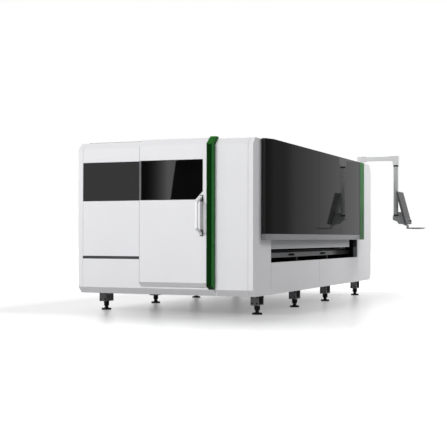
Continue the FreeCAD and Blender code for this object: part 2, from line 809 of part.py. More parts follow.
def roof():
    seam = panel_gap / 2
    sheet = block(
        (left + skin, right - skin), (front + 150, front + far_wall - seam), (roof_top - skin, roof_top)
    )
    collar_at = ((left + right) / 2, front + 3300, roof_top)
    radius = 100
    opening = rod((collar_at[0], collar_at[1], roof_top - 2 * skin), radius, 3 * skin)
    node("roof_panel", cut(sheet, opening))
    flange = rod((collar_at[0], collar_at[1], roof_top), radius + 30, skin)
    spout = rod(collar_at, radius + 2, 60)
    bore = rod(collar_at, radius, 60)
    node("fume_collar", cut(fused(flange, spout), bore))


def cabin_frame():
    """Square-tube posts and rails that carry the cabin's sheets, standing on the bed's lower beams."""
    wide = 50
    x_right = (right - skin - wide, right - skin)
    x_left = (mirror_x(x_right[1]), mirror_x(x_right[0]))
    stub_right = (right - foot_inset + sill_wide / 2, x_right[1])
    stub_left = (mirror_x(stub_right[1]), mirror_x(stub_right[0]))
    top = (roof_top - skin - wide, roof_top - skin)
    low = (sill_high - 30, sill_high)
    ends = (front + 90, front + far_wall - 10)
    post_rows = (front + 90, front + near_wall - 60, front + far_wall - 60)
    door_beams = (
        (doorway_high + 10, doorway_high + 50),
        (lower_panel_top - 20, lower_panel_top + shadow_gap + 20),
    )
    parts = []
    for x, stub in ((x_right, stub_right), (x_left, stub_left)):
        parts.append(block(x, ends, top))
        parts.append(block(x, ends, low))
        for near in post_rows:
            parts.append(block(x, (near, near + wide), (low[0], top[1])))
            parts.append(block(stub, (near, near + wide), low))
        for height in door_beams:
            parts.append(block(x, (front + skin, front + 90), height))
    for near in (post_rows[0], post_rows[2]):
        parts.append(block((x_left[0], x_right[1]), (near, near + wide), top))
    for height in door_beams:
        parts.append(block((x_left[0], x_right[1]), (front + skin, front + skin + 40), height))
    node("cabin_frame", fused(*parts))


# ---- far cabinet ---------------------------------------------------------------------------------------

def cabinet_end(x):
    """One end sheet: the cabinet's outline with its round top edge."""
    near = front + far_wall
    top = roof_top + cabinet_rise
    centre = (back - cabinet_round, top - cabinet_round)
    outline = [
        (near, body_bottom),
        (back - slope, body_bottom),
        (back, body_bottom + slope),
        (back, centre[1]),
        centre,
        (centre[0], top),
        (near, top),
    ]
    return fused(prism("YZ", outline, *x), rod((x[0], *centre), cabinet_round, x[1] - x[0], "x"))


REAR_DOORS = {
    "left": ((left + right) / 2 - rear_door_width - 4, (left + right) / 2 - 4),
    "right": ((left + right) / 2 + 4, (left + right) / 2 + rear_door_width + 4),
}


HINGE_Y = back + rear_door_thick
GLAND = (right - gland_inset, gland_height)
HINGE_ROWS = (rear_door_low + 160, rear_door_high - 160)


def far_cabinet():
    """Screwed together from sheets: two ends, a roof, a rounded edge, a back with its doorway and a floor."""
    inner = (left + skin, right - skin)
    near = front + far_wall
    top = roof_top + cabinet_rise
    round_start = (back - cabinet_round, top - cabinet_round)
    fold = skin * bend_inset
    ends = [cabinet_end((left, left + skin)), cabinet_end((right - skin, right))]
    roof_sheet = block(inner, (near, round_start[0]), (top - skin, top))
    edge = cut(
        rod((inner[0], *round_start), cabinet_round, inner[1] - inner[0], "x"),
        rod((inner[0], *round_start), cabinet_round - skin, inner[1] - inner[0], "x"),
        block(inner, (round_start[0] - cabinet_round, round_start[0]), (round_start[1] - cabinet_round, top)),
        block(inner, (round_start[0], back), (round_start[1] - cabinet_round, round_start[1])),
    )
    back_sheet = block(inner, (back - skin, back), (body_bottom + slope, round_start[1]))
    doorway = block(
        (REAR_DOORS["left"][0] + 20, REAR_DOORS["right"][1] - 20),
        (back - 20, back + 5),
        (rear_door_low + 20, rear_door_high - 20),
    )
    cable_hole = rod((GLAND[0], back - 10, GLAND[1]), gland_bore, 15, "y")
    slope_sheet = prism(
        "YZ",
        [
            (back - slope, body_bottom),
            (back, body_bottom + slope),
            (back - skin, body_bottom + slope),
            (back - slope - fold, body_bottom + skin),
        ],
        *inner,
    )
    floor_sheet = block(inner, (near, back - slope - fold), (body_bottom, body_bottom + skin))
    legs = []
    for x in FOOT_COLUMNS:
        across = (x - leg_wide / 2 - 1, x + leg_wide / 2 + 1)
        along = (FOOT_ROWS[3] - leg_long / 2 - 1, FOOT_ROWS[3] + leg_long / 2 + 1)
        legs.append(block(across, along, (body_bottom - 5, body_bottom + 2 * skin)))
    shelf = block(inner, (near + 10, back - 90), (sill_high, sill_high + skin))
    divider = block(inner, (near + 4, near + 10), (sill_high, roof_top))
    hinges = []
    for side in ("left", "right"):
        for low in HINGE_ROWS:
            hinges.extend(hinge_leaf(side, low))
    back_panel = fused(cut(back_sheet, doorway, cable_hole), *hinges)
    sheets = [*ends, roof_sheet, edge, back_panel, slope_sheet, cut(floor_sheet, *legs), shelf, divider]
    node("far_cabinet", group(*sheets))


def hinge_leaf(side, low):
    """The cabinet's half of a hinge: a knuckle under the door's one, on a leaf beside the door."""
    axis_x = REAR_DOORS["left"][0] if side == "left" else REAR_DOORS["right"][1]
    leaf = (axis_x - 7, axis_x - 3) if side == "left" else (axis_x + 3, axis_x + 7)
    knuckle = rod((axis_x, HINGE_Y, low - 40), hinge_radius, 39.5)
    pin = rod((axis_x, HINGE_Y, low - 0.5), hinge_radius / 2, 36)
    return [knuckle, pin, block(leaf, (back, HINGE_Y), (low - 40, low - 0.5))]


def rear_door(side):
    """A sheet door with folded edges, vent slots and a lever, hung on its outer edge behind the cabinet."""
    x = REAR_DOORS[side]
    z = (rear_door_low, rear_door_high)
    y = (back + 1, back + rear_door_thick)
    panel = block(x, y, z)
    hollow = block((x[0] + skin, x[1] - skin), (y[0], y[1] - skin), (z[0] + skin, z[1] - skin))
    slots = []
    for index in range(8):
        low = z[0] + 120 + 30 * index
        slots.append(block((x[0] + 200, x[1] - 200), (y[1] - 2 * skin, y[1] + skin), (low, low + 10)))
    lever_x = x[1] - 60 if side == "left" else x[0] + 60
    plate = block((lever_x - 15, lever_x + 15), (y[1], back + rear_reach), (1000, 1140))
    axis_x = x[0] if side == "left" else x[1]
    corner = (axis_x - 8, axis_x + 8)
    clearances = [block(corner, (HINGE_Y - 8, HINGE_Y + 8), (low - 41, low + 0.2)) for low in HINGE_ROWS]
    knuckles = [rod((axis_x, HINGE_Y, low), hinge_radius, 40) for low in HINGE_ROWS]
    bores = [rod((axis_x, HINGE_Y, low), hinge_radius / 2 + 0.05, 40) for low in HINGE_ROWS]
    door = fused(cut(panel, hollow, *slots, *clearances), plate, *knuckles)
    node(f"rear_door_{side}", cut(door, *bores))


def cabinet_contents():
    floor = sill_high + skin
    source_x = (left + 180, left + 180 + 500)
    source_y = (front + far_wall + 60, front + far_wall + 600)
    body = block(source_x, source_y, (floor, floor + 760))
    inside = block(
        (source_x[0] + skin, source_x[1] - skin),
        (source_y[0] + skin, source_y[1] - skin),
        (floor + skin, floor + 757),
    )
    vent_x = (source_x[0] + 60, source_x[1] - 60)
    vent_y = (source_y[1] - 5, source_y[1] + 5)
    vents = [block(vent_x, vent_y, (floor + low, floor + low + 12)) for low in range(120, 420, 40)]
    node("laser_source", cut(body, inside, *vents))
    drive_x = (right - 900, right - 150)
    plate = block(drive_x, (front + far_wall + 10, front + far_wall + 16), (600, 1700))
    units = []
    for row in range(3):
        for column in range(4):
            low = 700 + 330 * row
            start = right - 860 + 170 * column
            units.append(
                block((start, start + 130), (front + far_wall + 16, front + far_wall + 190), (low, low + 240))
            )
    node("drive_units", fused(plate, *units))


def power_gland():
    """The screwed gland that the supply cable enters by, low on the cabinet's back."""
    at = (GLAND[0], back, GLAND[1])
    nut = rod(at, gland_bore + 13, 12, "y")
    neck = rod(at, gland_bore + 7, gland_length, "y")
    bore = rod(at, gland_bore, gland_length, "y")
    node("power_gland", cut(fused(nut, neck), bore))


# ---- loading cover -------------------------------------------------------------------------------------

def cover_plan(inset):
    """Plan of the cover: square near end, slanted face, then straight."""
    wall = right + cover_gap
    outer = right + cover_proud - inset
    near_end = front + cover_near + inset
    far = front + cover_far - inset
    return [
        (wall, near_end),
        (right + cover_step - inset * bend_inset, near_end),
        (outer, near_end + cover_taper - inset * bend_inset),
        (outer, far),
        (wall, far),
    ]


GUIDE_ROWS = (front + guide_first, front + guide_second)


def cover():
    rail = prism("XY", cover_plan(0), cover_low, pane_low)
    rail_hollow = prism("XY", cover_plan(skin), cover_low + skin, pane_low)
    notches = [
        block(
            (right, right + guide_deep + 4),
            (middle - guide_wide / 2 - 4, middle + guide_wide / 2 + 4),
            (cover_low - skin, cover_low + 2 * skin),
        )
        for middle in GUIDE_ROWS
    ]
    tube = cover_tube
    x = (right + cover_proud - pane_thick - tube, right + cover_proud - pane_thick)
    near = front + cover_near + cover_taper + 20
    far = front + cover_far - 6
    bars = [
        block(x, (near, far), (cover_high - pane_thick - tube, cover_high - pane_thick)),
        block(x, (near, far), (pane_low, pane_low + tube)),
    ]
    for index in range(4):
        seam = front + pane_near_seam + pane_pitch * index
        bars.append(block(x, (seam - tube / 2, seam + tube / 2), (cover_low + skin, cover_high - pane_thick)))
    upright = (cover_low + skin, cover_high - pane_thick)
    bars.append(block(x, (near, near + tube), upright))
    for middle in GUIDE_ROWS:
        bars.append(block(x, (middle - tube / 2, middle + tube / 2), upright))
    lid = prism("XY", cover_plan(pane_thick), cover_high - pane_thick, cover_high)
    far_end = block(
        (right + cover_gap, right + cover_proud - pane_thick),
        (front + cover_far - skin, front + cover_far),
        (pane_low, cover_high),
    )
    frame = fused(cut(rail, rail_hollow, *notches), *bars, lid, far_end)
    node("cover_frame", frame)

    seams = [front + pane_near_seam + pane_pitch * index for index in range(4)]
    height = (pane_low, cover_high)
    outer = right + cover_proud
    near_end = front + cover_near
    fold = pane_thick * bend_inset
    bent = [
        (right + cover_gap, near_end),
        (right + cover_step, near_end),
        (outer, near_end + cover_taper),
        (outer, seams[0] - 1),
        (outer - pane_thick, seams[0] - 1),
        (outer - pane_thick, near_end + cover_taper + fold / 2),
        (right + cover_step - fold, near_end + pane_thick),
        (right + cover_gap, near_end + pane_thick),
    ]
    panes = [prism("XY", bent, *height)]
    for index in range(3):
        panes.append(
            block((outer - pane_thick, outer), (seams[index] + 1, seams[index + 1] - 1), height)
        )
    node("cover_panes", group(*panes))

    strip = [
        (outer - pane_thick, seams[3]),
        (outer + strip_proud, seams[3]),
        (outer + strip_proud, front + cover_far + strip_proud),
        (right + cover_gap, front + cover_far + strip_proud),
        (right + cover_gap, front + cover_far),
        (outer, front + cover_far),
    ]
    upper = prism("XY", strip, pane_low, cover_high)
    face_y = (seams[3], front + cover_far + strip_proud)
    face = block((outer, outer + strip_proud), face_y, (cover_low, pane_low))
    node("cover_trim", fused(upper, face))

    inner = right - skirt_inset
    along = (front + near_wall + 8, front + skirt_far)
    top = cover_low + 60
    skirt = block((inner, inner + skin), along, (skirt_low, top))
    hook = block((inner, right + cover_gap + skin), along, (top, top + skin))
    lip = block((right + cover_gap, right + cover_gap + skin), along, (top - 50, top))
    node("cover_skirt", fused(skirt, hook, lip))


def cover_guides():
    """Rails for the cover on the wall beside the opening, and the cover's runner blocks on them."""
    rails = []
    runners = []
    for middle in GUIDE_ROWS:
        along = (middle - guide_wide / 2, middle + guide_wide / 2)
        rails.append(block((right, right + guide_deep), along, (slot_high + 10, roof_top - 20)))
        for low in (slot_high + 50, slot_high + 260):
            depth = (right + guide_deep + 0.5, right + cover_proud - pane_thick - cover_tube)
            runners.append(block(depth, (middle - guide_wide, middle + guide_wide), (low, low + 100)))
    node("cover_rails", group(*rails))
    node("cover_runners", group(*runners))


# ---- gantry --------------------------------------------------------------------------------------------

BEAM_Y = (front + gantry_home - beam_deep / 2, front + gantry_home + beam_deep / 2)
GANTRY_X = (left + rail_centre - end_wide / 2, right - rail_centre + end_wide / 2)
RAIL_TOP = bed_high + rail_high


def gantry():
    beam_x = (GANTRY_X[0] + end_wide, GANTRY_X[1] - end_wide)
    beam = block(beam_x, BEAM_Y, (beam_low, beam_high))
    hollow = block(
        beam_x, (BEAM_Y[0] + beam_wall, BEAM_Y[1] - beam_wall), (beam_low + beam_wall, beam_high - beam_wall)
    )
    node("gantry_beam", cut(beam, hollow))
    ends = []
    motors = []
    lift = 0.5
    for side in ("right", "left"):
        outer = (GANTRY_X[1] - end_wide, GANTRY_X[1])
        if side == "left":
            outer = (GANTRY_X[0], GANTRY_X[0] + end_wide)
        along = (BEAM_Y[0] - 40, BEAM_Y[1] + 40)
        head = block(outer, along, (RAIL_TOP + 40, beam_high))
        shoe_near = block(outer, (along[0], along[0] + 70), (RAIL_TOP + lift, RAIL_TOP + 40))
        shoe_far = block(outer, (along[1] - 70, along[1]), (RAIL_TOP + lift, RAIL_TOP + 40))
        ends.append(fused(head, shoe_near, shoe_far))
        motors.append(travel_motor(side))
    node("gantry_ends", group(*ends))
    node("travel_motors", group(*motors))
    rails = []
    for low in (beam_low + 18, beam_high - 38):
        rails.append(block(beam_x, (BEAM_Y[0] - 15, BEAM_Y[0]), (low, low + 20)))
    rack = block(beam_x, (BEAM_Y[0] + 4, BEAM_Y[0] + 28), (beam_high, beam_high + 20))
    node("beam_track", group(*rails, rack))


def pinion_place(side):
    """Centre of a travel pinion, above its rack and on the inner side of the gantry's end block."""
    x = right - bed_inner + 4 if side == "right" else mirror_x(right - bed_inner + 4 + rail_wide)
    return (x, front + gantry_home + 155, RAIL_TOP + pinion_radius + mesh_gap)


def travel_motor(side):
    """Upright bracket behind the end block, with the motor lying across the machine, inside its pinion."""
    x, y, z = pinion_place(side)
    half = motor_wide / 2
    gap = 2
    if side == "right":
        plate_x = (x - gap - 12, x - gap)
        body_x = (x - gap - 12 - travel_motor_long, x - gap - 12)
        arm_x = (x - gap - 12, GANTRY_X[1] - end_wide)
    else:
        plate_x = (x + rail_wide + gap, x + rail_wide + gap + 12)
        body_x = (x + rail_wide + gap + 12, x + rail_wide + gap + 12 + travel_motor_long)
        arm_x = (GANTRY_X[0] + end_wide, x + rail_wide + gap + 12)
    body = block(body_x, (y - half, y + half), (z - half + 20, z + half + 20))
    plate = block(plate_x, (BEAM_Y[1] + 4, y + half), (z - 30, z + 80))
    arm = block(arm_x, (BEAM_Y[1] + 4, BEAM_Y[1] + 39), (z + 50, z + 80))
    shaft_hole = rod((plate_x[0] - 5, y, z), shaft_radius + 0.05, 22, "x")
    return cut(fused(body, plate, arm), shaft_hole)


def travel_pinion(side):
    x, y, z = pinion_place(side)
    wheel = rod((x, y, z), pinion_radius, rail_wide, "x")
    shaft_start = x - 12 if side == "right" else x
    shaft = rod((shaft_start, y, z), shaft_radius, rail_wide + 12, "x")
    node(f"travel_pinion_{side}", fused(wheel, shaft))


CARRIAGE_X = right - carriage_home
PLATE_Y = (BEAM_Y[0] - beam_rail_deep - plate_thick, BEAM_Y[0] - beam_rail_deep)
RACK_Z = beam_high + 20 + pinion_radius + mesh_gap
PINION_X = CARRIAGE_X - 70
HEAD_X = CARRIAGE_X + 62
GUIDE_OFFSETS = (-44, 44)
SCREW_Y = PLATE_Y[0] - 18


def carriage():
    x = (CARRIAGE_X - carriage_wide / 2, CARRIAGE_X + carriage_wide / 2)
    parts = [block(x, PLATE_Y, (beam_low + 10, carriage_high))]
    for low in (beam_low + 12, beam_high - 44):
        for start in (x[0] + 10, x[1] - 70):
            parts.append(block((start, start + 60), (PLATE_Y[1], BEAM_Y[0] - 15.5), (low, low + 32)))
    guide_y = (PLATE_Y[0] - 12, PLATE_Y[0])
    for offset in GUIDE_OFFSETS:
        middle = HEAD_X + offset
        parts.append(block((middle - 7, middle + 7), guide_y, (beam_low + 20, carriage_high - 10)))
    shelf_y = (SCREW_Y - 38, PLATE_Y[1])
    parts.append(block((HEAD_X - 50, HEAD_X + 50), shelf_y, (carriage_high, carriage_high + 12)))
    shaft_hole = rod((PINION_X, PLATE_Y[0] - 5, RACK_Z), shaft_radius + 0.05, plate_thick + 10, "y")
    screw_hole = rod((HEAD_X, SCREW_Y, carriage_high - 5), screw_radius + 0.05, 30)
    node("carriage_plate", cut(fused(*parts), shaft_hole, screw_hole))
    half = motor_wide / 2
    motor = block(
        (PINION_X - half, PINION_X + half),
        (PLATE_Y[0] - 150, PLATE_Y[0]),
        (RACK_Z - half, RACK_Z + half),
    )
    motor_bore = rod((PINION_X, PLATE_Y[0] - 12, RACK_Z), shaft_radius + 0.05, 12, "y")
    node("carriage_motor", cut(motor, motor_bore))
    motor_low = carriage_high + 12
    upright = block((HEAD_X - 36, HEAD_X + 36), (SCREW_Y - 36, SCREW_Y + 36), (motor_low, motor_low + 130))
    upright_bore = rod((HEAD_X, SCREW_Y, motor_low), screw_radius + 0.05, 14)
    node("head_motor", cut(upright, upright_bore))


def carriage_pinion():
    near = PLATE_Y[1] + 8
    wheel = rod((PINION_X, near, RACK_Z), pinion_radius, BEAM_Y[0] + 28 - near, "y")
    shaft = rod((PINION_X, PLATE_Y[0] - 10, RACK_Z), shaft_radius, plate_thick + 20, "y")
    node("carriage_pinion", fused(wheel, shaft))


def head():
    slide_low = beam_low + 100
    slide_high = slide_low + 200
    y = (PLATE_Y[0] - 45, PLATE_Y[0] - 32)
    plate = block((HEAD_X - 58, HEAD_X + 58), y, (slide_low, slide_high))
    parts = [plate]
    for offset in GUIDE_OFFSETS:
        middle = HEAD_X + offset
        runner_y = (y[1], PLATE_Y[0] - 12.5)
        parts.append(block((middle - 14, middle + 14), runner_y, (slide_low + 20, slide_high - 20)))
    nut = block((HEAD_X - 20, HEAD_X + 20), (y[1], PLATE_Y[0] - 2), (slide_low + 60, slide_low + 110))
    nut_bore = rod((HEAD_X, SCREW_Y, slide_low + 50), screw_radius + 0.05, 80)
    node("head_slide", cut(fused(*parts, nut), nut_bore))
    axis_y = y[0] - 50
    tip = nozzle_tip
    head_parts = [
        taper((HEAD_X, axis_y, tip), 4, 10, 22),
        rod((HEAD_X, axis_y, tip + 22), 16, 20),
        taper((HEAD_X, axis_y, tip + 42), 22, 36, 50),
        block((HEAD_X - 45, HEAD_X + 45), (axis_y - 45, y[0]), (tip + 92, tip + 262)),
        rod((HEAD_X, axis_y, tip + 262), 32, 90),
        rod((HEAD_X, axis_y, tip + 352), 18, 40),
    ]
    beam_bore = rod((HEAD_X, axis_y, tip), 1.5, 40)
    node("laser_head", cut(fused(*head_parts), beam_bore))


def head_screw():
    low = beam_low + 110
    shaft = rod((HEAD_X, SCREW_Y, low), screw_radius, carriage_high + 24 - low)
    node("head_screw", shaft)


# ---- console -------------------------------------------------------------------------------------------

CONSOLE_Y = front + pendant_from_front
PIVOT = (right + pivot_out, CONSOLE_Y)
POST = (right + post_out, CONSOLE_Y)
TRAY_AXIS = (right + tray_hinge_out, tray_low + tray_drop)
EAR_OUT = box_half - 3
LEAN_SLOPE = math.tan(math.radians(lean.value))
LEAN_ACROSS = 1 / math.cos(math.radians(lean.value))


def arm_bracket():
    """Plate on the cabinet's top, with a fork that carries the arm's pivot pin beyond the wall."""
    floor = roof_top + cabinet_rise
    half = arm_wide / 2
    fork = 8
    post_x = (right - 80, right - 6)
    y = (CONSOLE_Y - half, CONSOLE_Y + half)
    parts = [
        block((right - 190, right - 10), (CONSOLE_Y - 80, CONSOLE_Y + 80), (floor, floor + fork)),
        block(post_x, y, (floor + fork, arm_high + fork + 2)),
        block((post_x[1], PIVOT[0]), y, (arm_low - fork - 2, arm_low - 2)),
        block((post_x[1], PIVOT[0]), y, (arm_high + 2, arm_high + fork + 2)),
        rod((PIVOT[0], PIVOT[1], arm_low - fork - 2), half, fork),
        rod((PIVOT[0], PIVOT[1], arm_high + 2), half, fork),
        rod((PIVOT[0], PIVOT[1], arm_low - fork - 6), pivot_pin, arm_high - arm_low + 2 * fork + 12),
    ]
    node("arm_bracket", fused(*parts))


def pendant_arm():
    hub = rod((PIVOT[0], PIVOT[1], arm_low - 1), arm_wide / 2 + 2, arm_high - arm_low + 2)
    half = arm_wide / 2
    elbow_x = (POST[0] - 46, POST[0] + 46)
    tube_x = (PIVOT[0], elbow_x[0] + 10)
    beam = block(tube_x, (CONSOLE_Y - half, CONSOLE_Y + half), (arm_low, arm_high))
    outline = [
        (POST[0] - 180, arm_high - 2),
        (POST[0] - 40, arm_high + 9),
        (POST[0] + 34, arm_high + 9),
        (elbow_x[1], arm_high - 6),
        (elbow_x[1], arm_low - 16),
        (POST[0] + 36, collar_high),
        (POST[0] - 36, collar_high),
        (elbow_x[0], arm_low - 16),
        (POST[0] - 80, arm_low - 3),
        (POST[0] - 180, arm_low + 2),
    ]
    elbow = prism("XZ", outline, CONSOLE_Y - half - 8, CONSOLE_Y + half + 8)
    bore = rod((PIVOT[0], PIVOT[1], arm_low - 5), pivot_pin + 0.05, arm_high - arm_low + 10)
    node("pendant_arm", cut(fused(hub, beam, elbow), bore))
    collar = rod((POST[0], POST[1], collar_low + 0.5), post_radius + 3, collar_high - collar_low - 0.5)
    spindle = rod((POST[0], POST[1], collar_low - 40), 15, 42)
    washer = rod((POST[0], POST[1], collar_low - 40), 22, 9.5)
    node("arm_collar", fused(collar, spindle, washer))


def pendant_post():
    """A tube hung on the collar's spindle by the plug in its top, with a ring at its lower end."""
    pipe = rod((POST[0], POST[1], post_low), post_radius, collar_low - post_low)
    ring = rod((POST[0], POST[1], post_low), post_radius + 4, ring_high - post_low)
    hollow = rod((POST[0], POST[1], post_low), post_radius - 4, collar_low - 30 - post_low)
    bore = rod((POST[0], POST[1], collar_low - 31), 15.05, 32)
    node("pendant_post", cut(fused(pipe, ring), hollow, bore))


def back_of_screen(height):
    """How far out the screen housing's leaning back is at a height, less the gap to what stands behind it."""
    return right + screen_low_out - screen_thick * LEAN_ACROSS - (height - screen_low) * LEAN_SLOPE - screen_gap


def console():
    """Folded box on the post's lower end, with a slim strut up the post. It carries the screen and the tray."""
    x = right + post_out
    leg = strut_leg
    arm_under = tray_low + 43
    box = [
        (x - post_radius - 4, post_low - 55),
        (x + 29, post_low - 85),
        (x + 40, post_low - 111),
        (x + 64, post_low - 120),
        (x + 106, post_low - 119),
        (x + 139, arm_under + 12),
        (TRAY_AXIS[0] - 10, arm_under),
        (TRAY_AXIS[0] + 4, arm_under + 10),
        (TRAY_AXIS[0], arm_under + 22),
        (back_of_screen(screen_low), arm_under + 17),
        (back_of_screen(screen_low), screen_low),
        (back_of_screen(post_low), post_low),
        (x - post_radius - 4, post_low),
    ]
    strut = [
        (x + 14, post_low - 1),
        (back_of_screen(post_low - 1), post_low - 1),
        (back_of_screen(strut_high), strut_high),
        (x + 14, strut_high),
        (x + 14, window_top),
        (back_of_screen(window_top) - leg, window_top),
        (back_of_screen(window_foot) - leg, window_foot),
        (x + 14, window_foot),
    ]
    folded = prism("XZ", box, CONSOLE_Y - box_half, CONSOLE_Y + box_half)
    upright = prism("XZ", strut, CONSOLE_Y - strut_half, CONSOLE_Y + strut_half)
    ears = []
    ear_x = (TRAY_AXIS[0] - 12, TRAY_AXIS[0] + 6)
    ear_z = (TRAY_AXIS[1] - 8, arm_under + 13)
    for middle in (CONSOLE_Y - EAR_OUT, CONSOLE_Y + EAR_OUT):
        ears.append(block(ear_x, (middle - 3, middle + 3), ear_z))
    pin = rod((TRAY_AXIS[0], CONSOLE_Y - EAR_OUT, TRAY_AXIS[1]), hinge_pin, 2 * EAR_OUT, "y")
    post_room = rod((POST[0], POST[1], post_low), post_radius, strut_high - post_low + 10)
    ring_room = rod((POST[0], POST[1], post_low), post_radius + 4, ring_high - post_low)
    node("console_box", cut(fused(folded, upright, *ears, pin), post_room, ring_room))


def leaning(thing):
    """Turns a piece that is drawn upright onto the screen's slope, about the housing's lower front edge."""
    thing.Placement = Placement(Vector(), Rotation(Vector(0, -1, 0), 15.2))
    bind(thing, "Placement.Rotation.Angle", lean)
    return place(thing, right + screen_low_out, CONSOLE_Y, screen_low)


def screen():
    half = screen_wide / 2
    bezel = 16
    strip = 90
    pane_y = (bezel - half, half - bezel)
    pane_z = (as_length(strip), screen_tall - bezel)
    housing = block((-screen_thick, as_length(0)), (-half, half), (as_length(0), screen_tall))
    recess = block((as_length(-4), as_length(1)), pane_y, pane_z)
    bores = [rod((-14, y, CONTROL_ROW), radius + 0.3, 20, "x") for y, radius in CONTROLS.values()]
    node("screen_housing", leaning(cut(housing, recess, *bores)))
    glass = block((as_length(-4), as_length(-1)), pane_y, pane_z)
    node("screen_glass", leaning(group(glass)))


CONTROLS = {"emergency_stop": (150, 12), "start_button": (70, 9)}
CONTROL_ROW = 45


def controls():
    """Mushroom-headed stop and a push button on the strip below the screen."""
    y, radius = CONTROLS["emergency_stop"]
    stem = rod((-9, y, CONTROL_ROW), radius, 14, "x")
    mushroom = rod((5, y, CONTROL_ROW), 17, 9, "x")
    node("emergency_stop", leaning(fused(stem, mushroom)))
    y, radius = CONTROLS["start_button"]
    stem = rod((-9, y, CONTROL_ROW), radius, 14, "x")
    cap = rod((5, y, CONTROL_ROW), radius - 1, 2, "x")
    node("start_button", leaning(fused(stem, cap)))


def keyboard_tray():
    """A sheet tray with folded sides and a wedge-shaped front edge, hinged under the console's front."""
    x = TRAY_AXIS[0]
    end = right + pendant_reach
    lip = 40
    outline = [
        (x + 10, tray_low + 2),
        (x + lip, tray_low),
        (end - lip, tray_low),
        (end, tray_low + 16),
        (end - 2, tray_low + 20),
        (end - lip, tray_low + tray_thick),
        (x + 10, tray_low + tray_thick),
    ]
    shelf = prism("XZ", outline, CONSOLE_Y - tray_wide / 2, CONSOLE_Y + tray_wide / 2)
    hollow = block(
        (x + 10 + tray_sheet, end - lip),
        (CONSOLE_Y - tray_wide / 2 + tray_sheet, CONSOLE_Y + tray_wide / 2 - tray_sheet),
        (tray_low - 1, tray_low + tray_thick - tray_sheet),
    )
    half = EAR_OUT - 3.5
    across = (CONSOLE_Y - half, CONSOLE_Y + half)
    knuckle = rod((x, across[0], TRAY_AXIS[1]), hinge_pin + 4, 2 * half, "y")
    bridge = block((x - 3, x + 7), across, (tray_low + 4, TRAY_AXIS[1]))
    web = block((x - 3, x + 30), across, (tray_low + 4, tray_low + tray_thick))
    bore = rod((x, across[0], TRAY_AXIS[1]), hinge_pin + 0.05, 2 * half, "y")
    node("keyboard_tray", cut(fused(cut(shelf, hollow), knuckle, bridge, web), bore))


# ---- the whole machine ---------------------------------------------------------------------------------

levelling_feet()
bed()
travel_track()
table()
scrap_tray()
front_panels()
trim_bar()
sliding_door()
door_handle()
door_track()
side_walls()
roof()
cabin_frame()
far_cabinet()
rear_door("left")
rear_door("right")
cabinet_contents()
power_gland()
cover()
cover_guides()
gantry()
travel_pinion("right")
travel_pinion("left")
carriage()
carriage_pinion()
head()
head_screw()
arm_bracket()
pendant_arm()
pendant_post()
console()
screen()
controls()
keyboard_tray()

DOC.recompute()

for thing in DOC.Objects:
    if "Invalid" in thing.State or "Error" in thing.State:
        raise RuntimeError(f"{thing.Name} ({thing.Label}) could not be made: {thing.State}")
for thing in NODES:
    if thing.Shape.isNull() or not thing.Shape.isValid():
        raise RuntimeError(f"{thing.Label} has no sound shape")

os.makedirs("parts", exist_ok=True)
for thing in NODES:
    thing.Shape.exportStep(f"parts/{thing.Label}.step")
    box = thing.Shape.BoundBox
    spans = [(box.XMin, box.XMax), (box.YMin, box.YMax), (box.ZMin, box.ZMax)]
    where = "  ".join(f"{low:8.1f} {high:8.1f}" for low, high in spans)
    bulk = thing.Shape.Volume / 1e9
    print(f"{thing.Label:22s} solids {len(thing.Shape.Solids):3d}  volume {bulk:8.5f} m3  {where}")
print(len(NODES), "nodes")
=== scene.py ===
# %% [markdown]
# # A closed laser cutting machine, dressed for its picture
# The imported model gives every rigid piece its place. This lesson loads it, sets the camera, lights
# a white studio and gives each piece its finish: powder-coated sheet, gloss green trim, dark panes,
# ground rails and small parts. Every piece rides the body that carries it, so the door still slides
# and the cover still lifts.

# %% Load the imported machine
import json
import math

import bmesh
import bpy
from mathutils import Matrix, Vector
from mathutils.bvhtree import BVHTree


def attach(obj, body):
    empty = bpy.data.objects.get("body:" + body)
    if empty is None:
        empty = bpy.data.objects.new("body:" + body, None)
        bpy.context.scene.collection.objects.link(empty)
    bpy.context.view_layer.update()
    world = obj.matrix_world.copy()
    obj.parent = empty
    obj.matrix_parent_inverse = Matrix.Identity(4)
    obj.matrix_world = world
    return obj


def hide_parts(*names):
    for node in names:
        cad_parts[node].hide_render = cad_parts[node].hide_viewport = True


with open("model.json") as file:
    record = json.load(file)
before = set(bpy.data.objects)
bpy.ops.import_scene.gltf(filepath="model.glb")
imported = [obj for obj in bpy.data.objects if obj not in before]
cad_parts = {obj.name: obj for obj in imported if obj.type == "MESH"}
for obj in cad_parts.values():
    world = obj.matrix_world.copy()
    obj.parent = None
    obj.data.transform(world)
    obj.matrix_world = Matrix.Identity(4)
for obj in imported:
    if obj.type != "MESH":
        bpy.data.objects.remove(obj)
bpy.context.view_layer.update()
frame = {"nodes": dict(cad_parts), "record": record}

nodes = frame["nodes"]
body_of_node = {
    name: body
    for body, names in frame["record"]["behaviour"]["bodies"].items()
    for name in names
}


def new_object(name, data):
    """An object in the scene that holds a mesh, a lamp or a camera."""
    made = bpy.data.objects.new(name, data)
    bpy.context.scene.collection.objects.link(made)
    return made


# %% [markdown]
# ## The camera
# The photographer stood far off and used a long lens, so the upright edges stay nearly parallel.
# A camera can be set by eye, but a few pixels of error would spoil every comparison, so position,
# heading and focal length were worked out from the machine's own corners. A camera in Blender looks
# down its own -Z, so its matrix is built from the view direction, the picture's right and its up.

# %% Place the camera
EYE = Vector((4.5777, -12.8529, 0.8853))
YAW = math.radians(22.581)
PITCH = math.radians(0.796)
ROLL = math.radians(0.118)
FOCAL_PIXELS = 1000.508
PICTURE_PIXELS = 447
SENSOR_WIDTH = 36
FARTHEST_SEEN = 200

